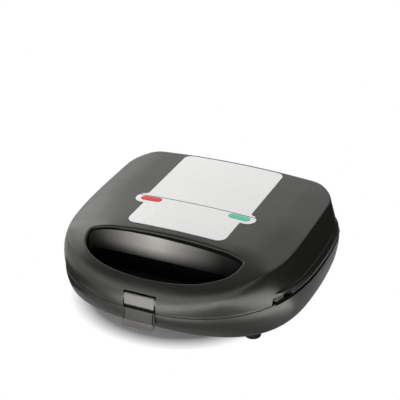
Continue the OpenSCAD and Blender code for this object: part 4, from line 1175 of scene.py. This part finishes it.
def make_foot(node):
    """Rubber foot: its section turned round, without the two caps of the loft."""
    foot = lathe(node + "_rubber", FOOT_SECTION + FOOT_SECTION[:1], foot_place(node))
    bm = bmesh.new()
    bm.from_mesh(foot.data)
    caps = [face for face in bm.faces if len(face.verts) > 4]
    bmesh.ops.delete(bm, geom=caps, context="FACES_ONLY")
    bmesh.ops.remove_doubles(bm, verts=bm.verts, dist=0.01 * MM)
    bmesh.ops.recalc_face_normals(bm, faces=bm.faces)
    bm.to_mesh(foot.data)
    bm.free()
    soften(foot, 0, 40)
    dress(foot, RUBBER, "base", "rubber", node)


# ---- latch

# The latch from the side, as y and z, from its top round the front and back up.
LATCH_PROFILE = [
    (-114.2, 59.1), (-115, 58.2), (-115.8, 52), (-116.5, 44), (-117.9, 36), (-119, 32),
    (-121.8, 28.6), (-121.8, 27.6), (-120.6, 27), (-117.6, 29.6), (-116, 32.6), (-114.7, 33.6),
    (-114.7, 35.2), (-115.7, 36.2), (-115.4, 40), (-114.4, 44), (-113.6, 50), (-113, 58.8)]
SIDE_ON = Matrix(((0, 0, 1, 0), (1, 0, 0, 0), (0, 1, 0, 0), (0, 0, 0, 1)))
FRONT_ON = Matrix(((1, 0, 0, 0), (0, 0, 1, 0), (0, 1, 0, 0), (0, 0, 0, 1)))


def latch_face():
    """The latch from the front, as x and z: narrower above, round at its lower corners."""
    half = latch_half_width
    tab = [(x, z) for x, z in rounded_rect(2 * half, 60, 3.6, (0.0, 57)) if z < 40]
    upper = [(half - 0.9, 70), (-half + 0.9, 70), (-half + 0.9, 47), (-half + 0.2, 44.2)]
    return upper + tab + [(half - 0.2, 44.2), (half - 0.9, 47)]


def latch_material(centre, normal):
    """Material of a latch face: 0 edges and tab, 1 upper face with a painted highlight, 2 lower
    face with painted shade, 3 seams in near-black painted shade.
    """
    beside = abs(abs(centre.x) - side_seam_x) < side_seam_half + 0.01
    if seam_low - 0.05 < centre.z < seam_high + 0.05:
        return 3
    if centre.z < seam_low and beside:
        return 3
    if normal.y > -0.3 or centre.z < 33.6:
        return 0
    return 1 if centre.z > 48 else 2


def make_latch():
    """Latch plate with seams, on two arms with a bore for its pin."""
    plate = prism("latch_plate", LATCH_PROFILE[::-1], -latch_half_width, latch_half_width, SIDE_ON)
    face = prism("latch_face", latch_face()[::-1], -130, -100, FRONT_ON)
    plate = combine(plate, [face], "INTERSECT", "EXACT")
    arms = []
    for x in (-latch_arm_x, latch_arm_x):
        arms.append(rod("eye", 3, 6, latch_pivot_y, latch_pivot_z, x))
        arms.append(block("arm", (x - 6, latch_pivot_y - 4, latch_pivot_z - 3),
                          (x + 6, latch_pivot_y, latch_pivot_z + 3)))
    plate = combine(plate, arms, "UNION", "EXACT")
    cuts = [rod("bore", 1.3, 20, latch_pivot_y, latch_pivot_z),
            block("seam", (-20, -130, seam_low), (20, -115.3, seam_high)),
            block("tab_seam", (-14.5, -130, tab_seam_low), (14.5, -118.2, tab_seam_high))]
    for x in (-side_seam_x, side_seam_x):
        cuts.append(block("side_seam", (x - side_seam_half, -130, 33.6),
                          (x + side_seam_half, -116.3, 44)))
    plate = combine(plate, cuts, solver="EXACT")
    soften(plate, 0.45, 30)
    dress(plate, LATCH, "latch", "latch_plastic", "latch")
    zones(plate, [LATCH_PAINTED_HIGHLIGHT, LATCH_PAINTED_SHADE, SHADED], latch_material)


# ---- all pieces

make_lid()
make_panel()
make_lens("lamp_lens_red", -1, RED, "red_lens")
make_lens("lamp_lens_green", 1, GREEN, "green_lens")
make_base()
for foot_node in FEET:
    make_foot(foot_node)
make_latch()

KEPT = (
    (INNER, ("base_deck", "lid_frame")), (REFLECTOR, ("base_reflector", "lid_reflector")),
    (HEATER, ("base_heater", "lid_heater")), (NONSTICK, ("lower_plate", "upper_plate")),
    (RELEASE, ("base_release_slide", "lid_release_slide")), (RUBBER, ("cord_gland",)),
    (SPRING, ("base_release_spring", "lid_release_spring")), (SLEEVE, ("hinge_conduit",)),
    (CERAMIC, ("thermostat", "thermal_fuse")), (CARRIER, ("terminal_block", "lamp_carrier")),
    (SCREW, ("foot_screws", "base_screws", "lid_screws")), (GLASS, ("neon_red", "neon_green")),
    (PIN, ("hinge_pin_left", "hinge_pin_right", "latch_pin")))
for kept_material, kept_nodes in KEPT:
    for kept_node in kept_nodes:
        paint(kept_node, kept_material)
# The wires are round and need no rounded edges.
for wiring_node in ("base_wiring", "lid_wiring"):
    paint(wiring_node, WIRE, 0, 60)
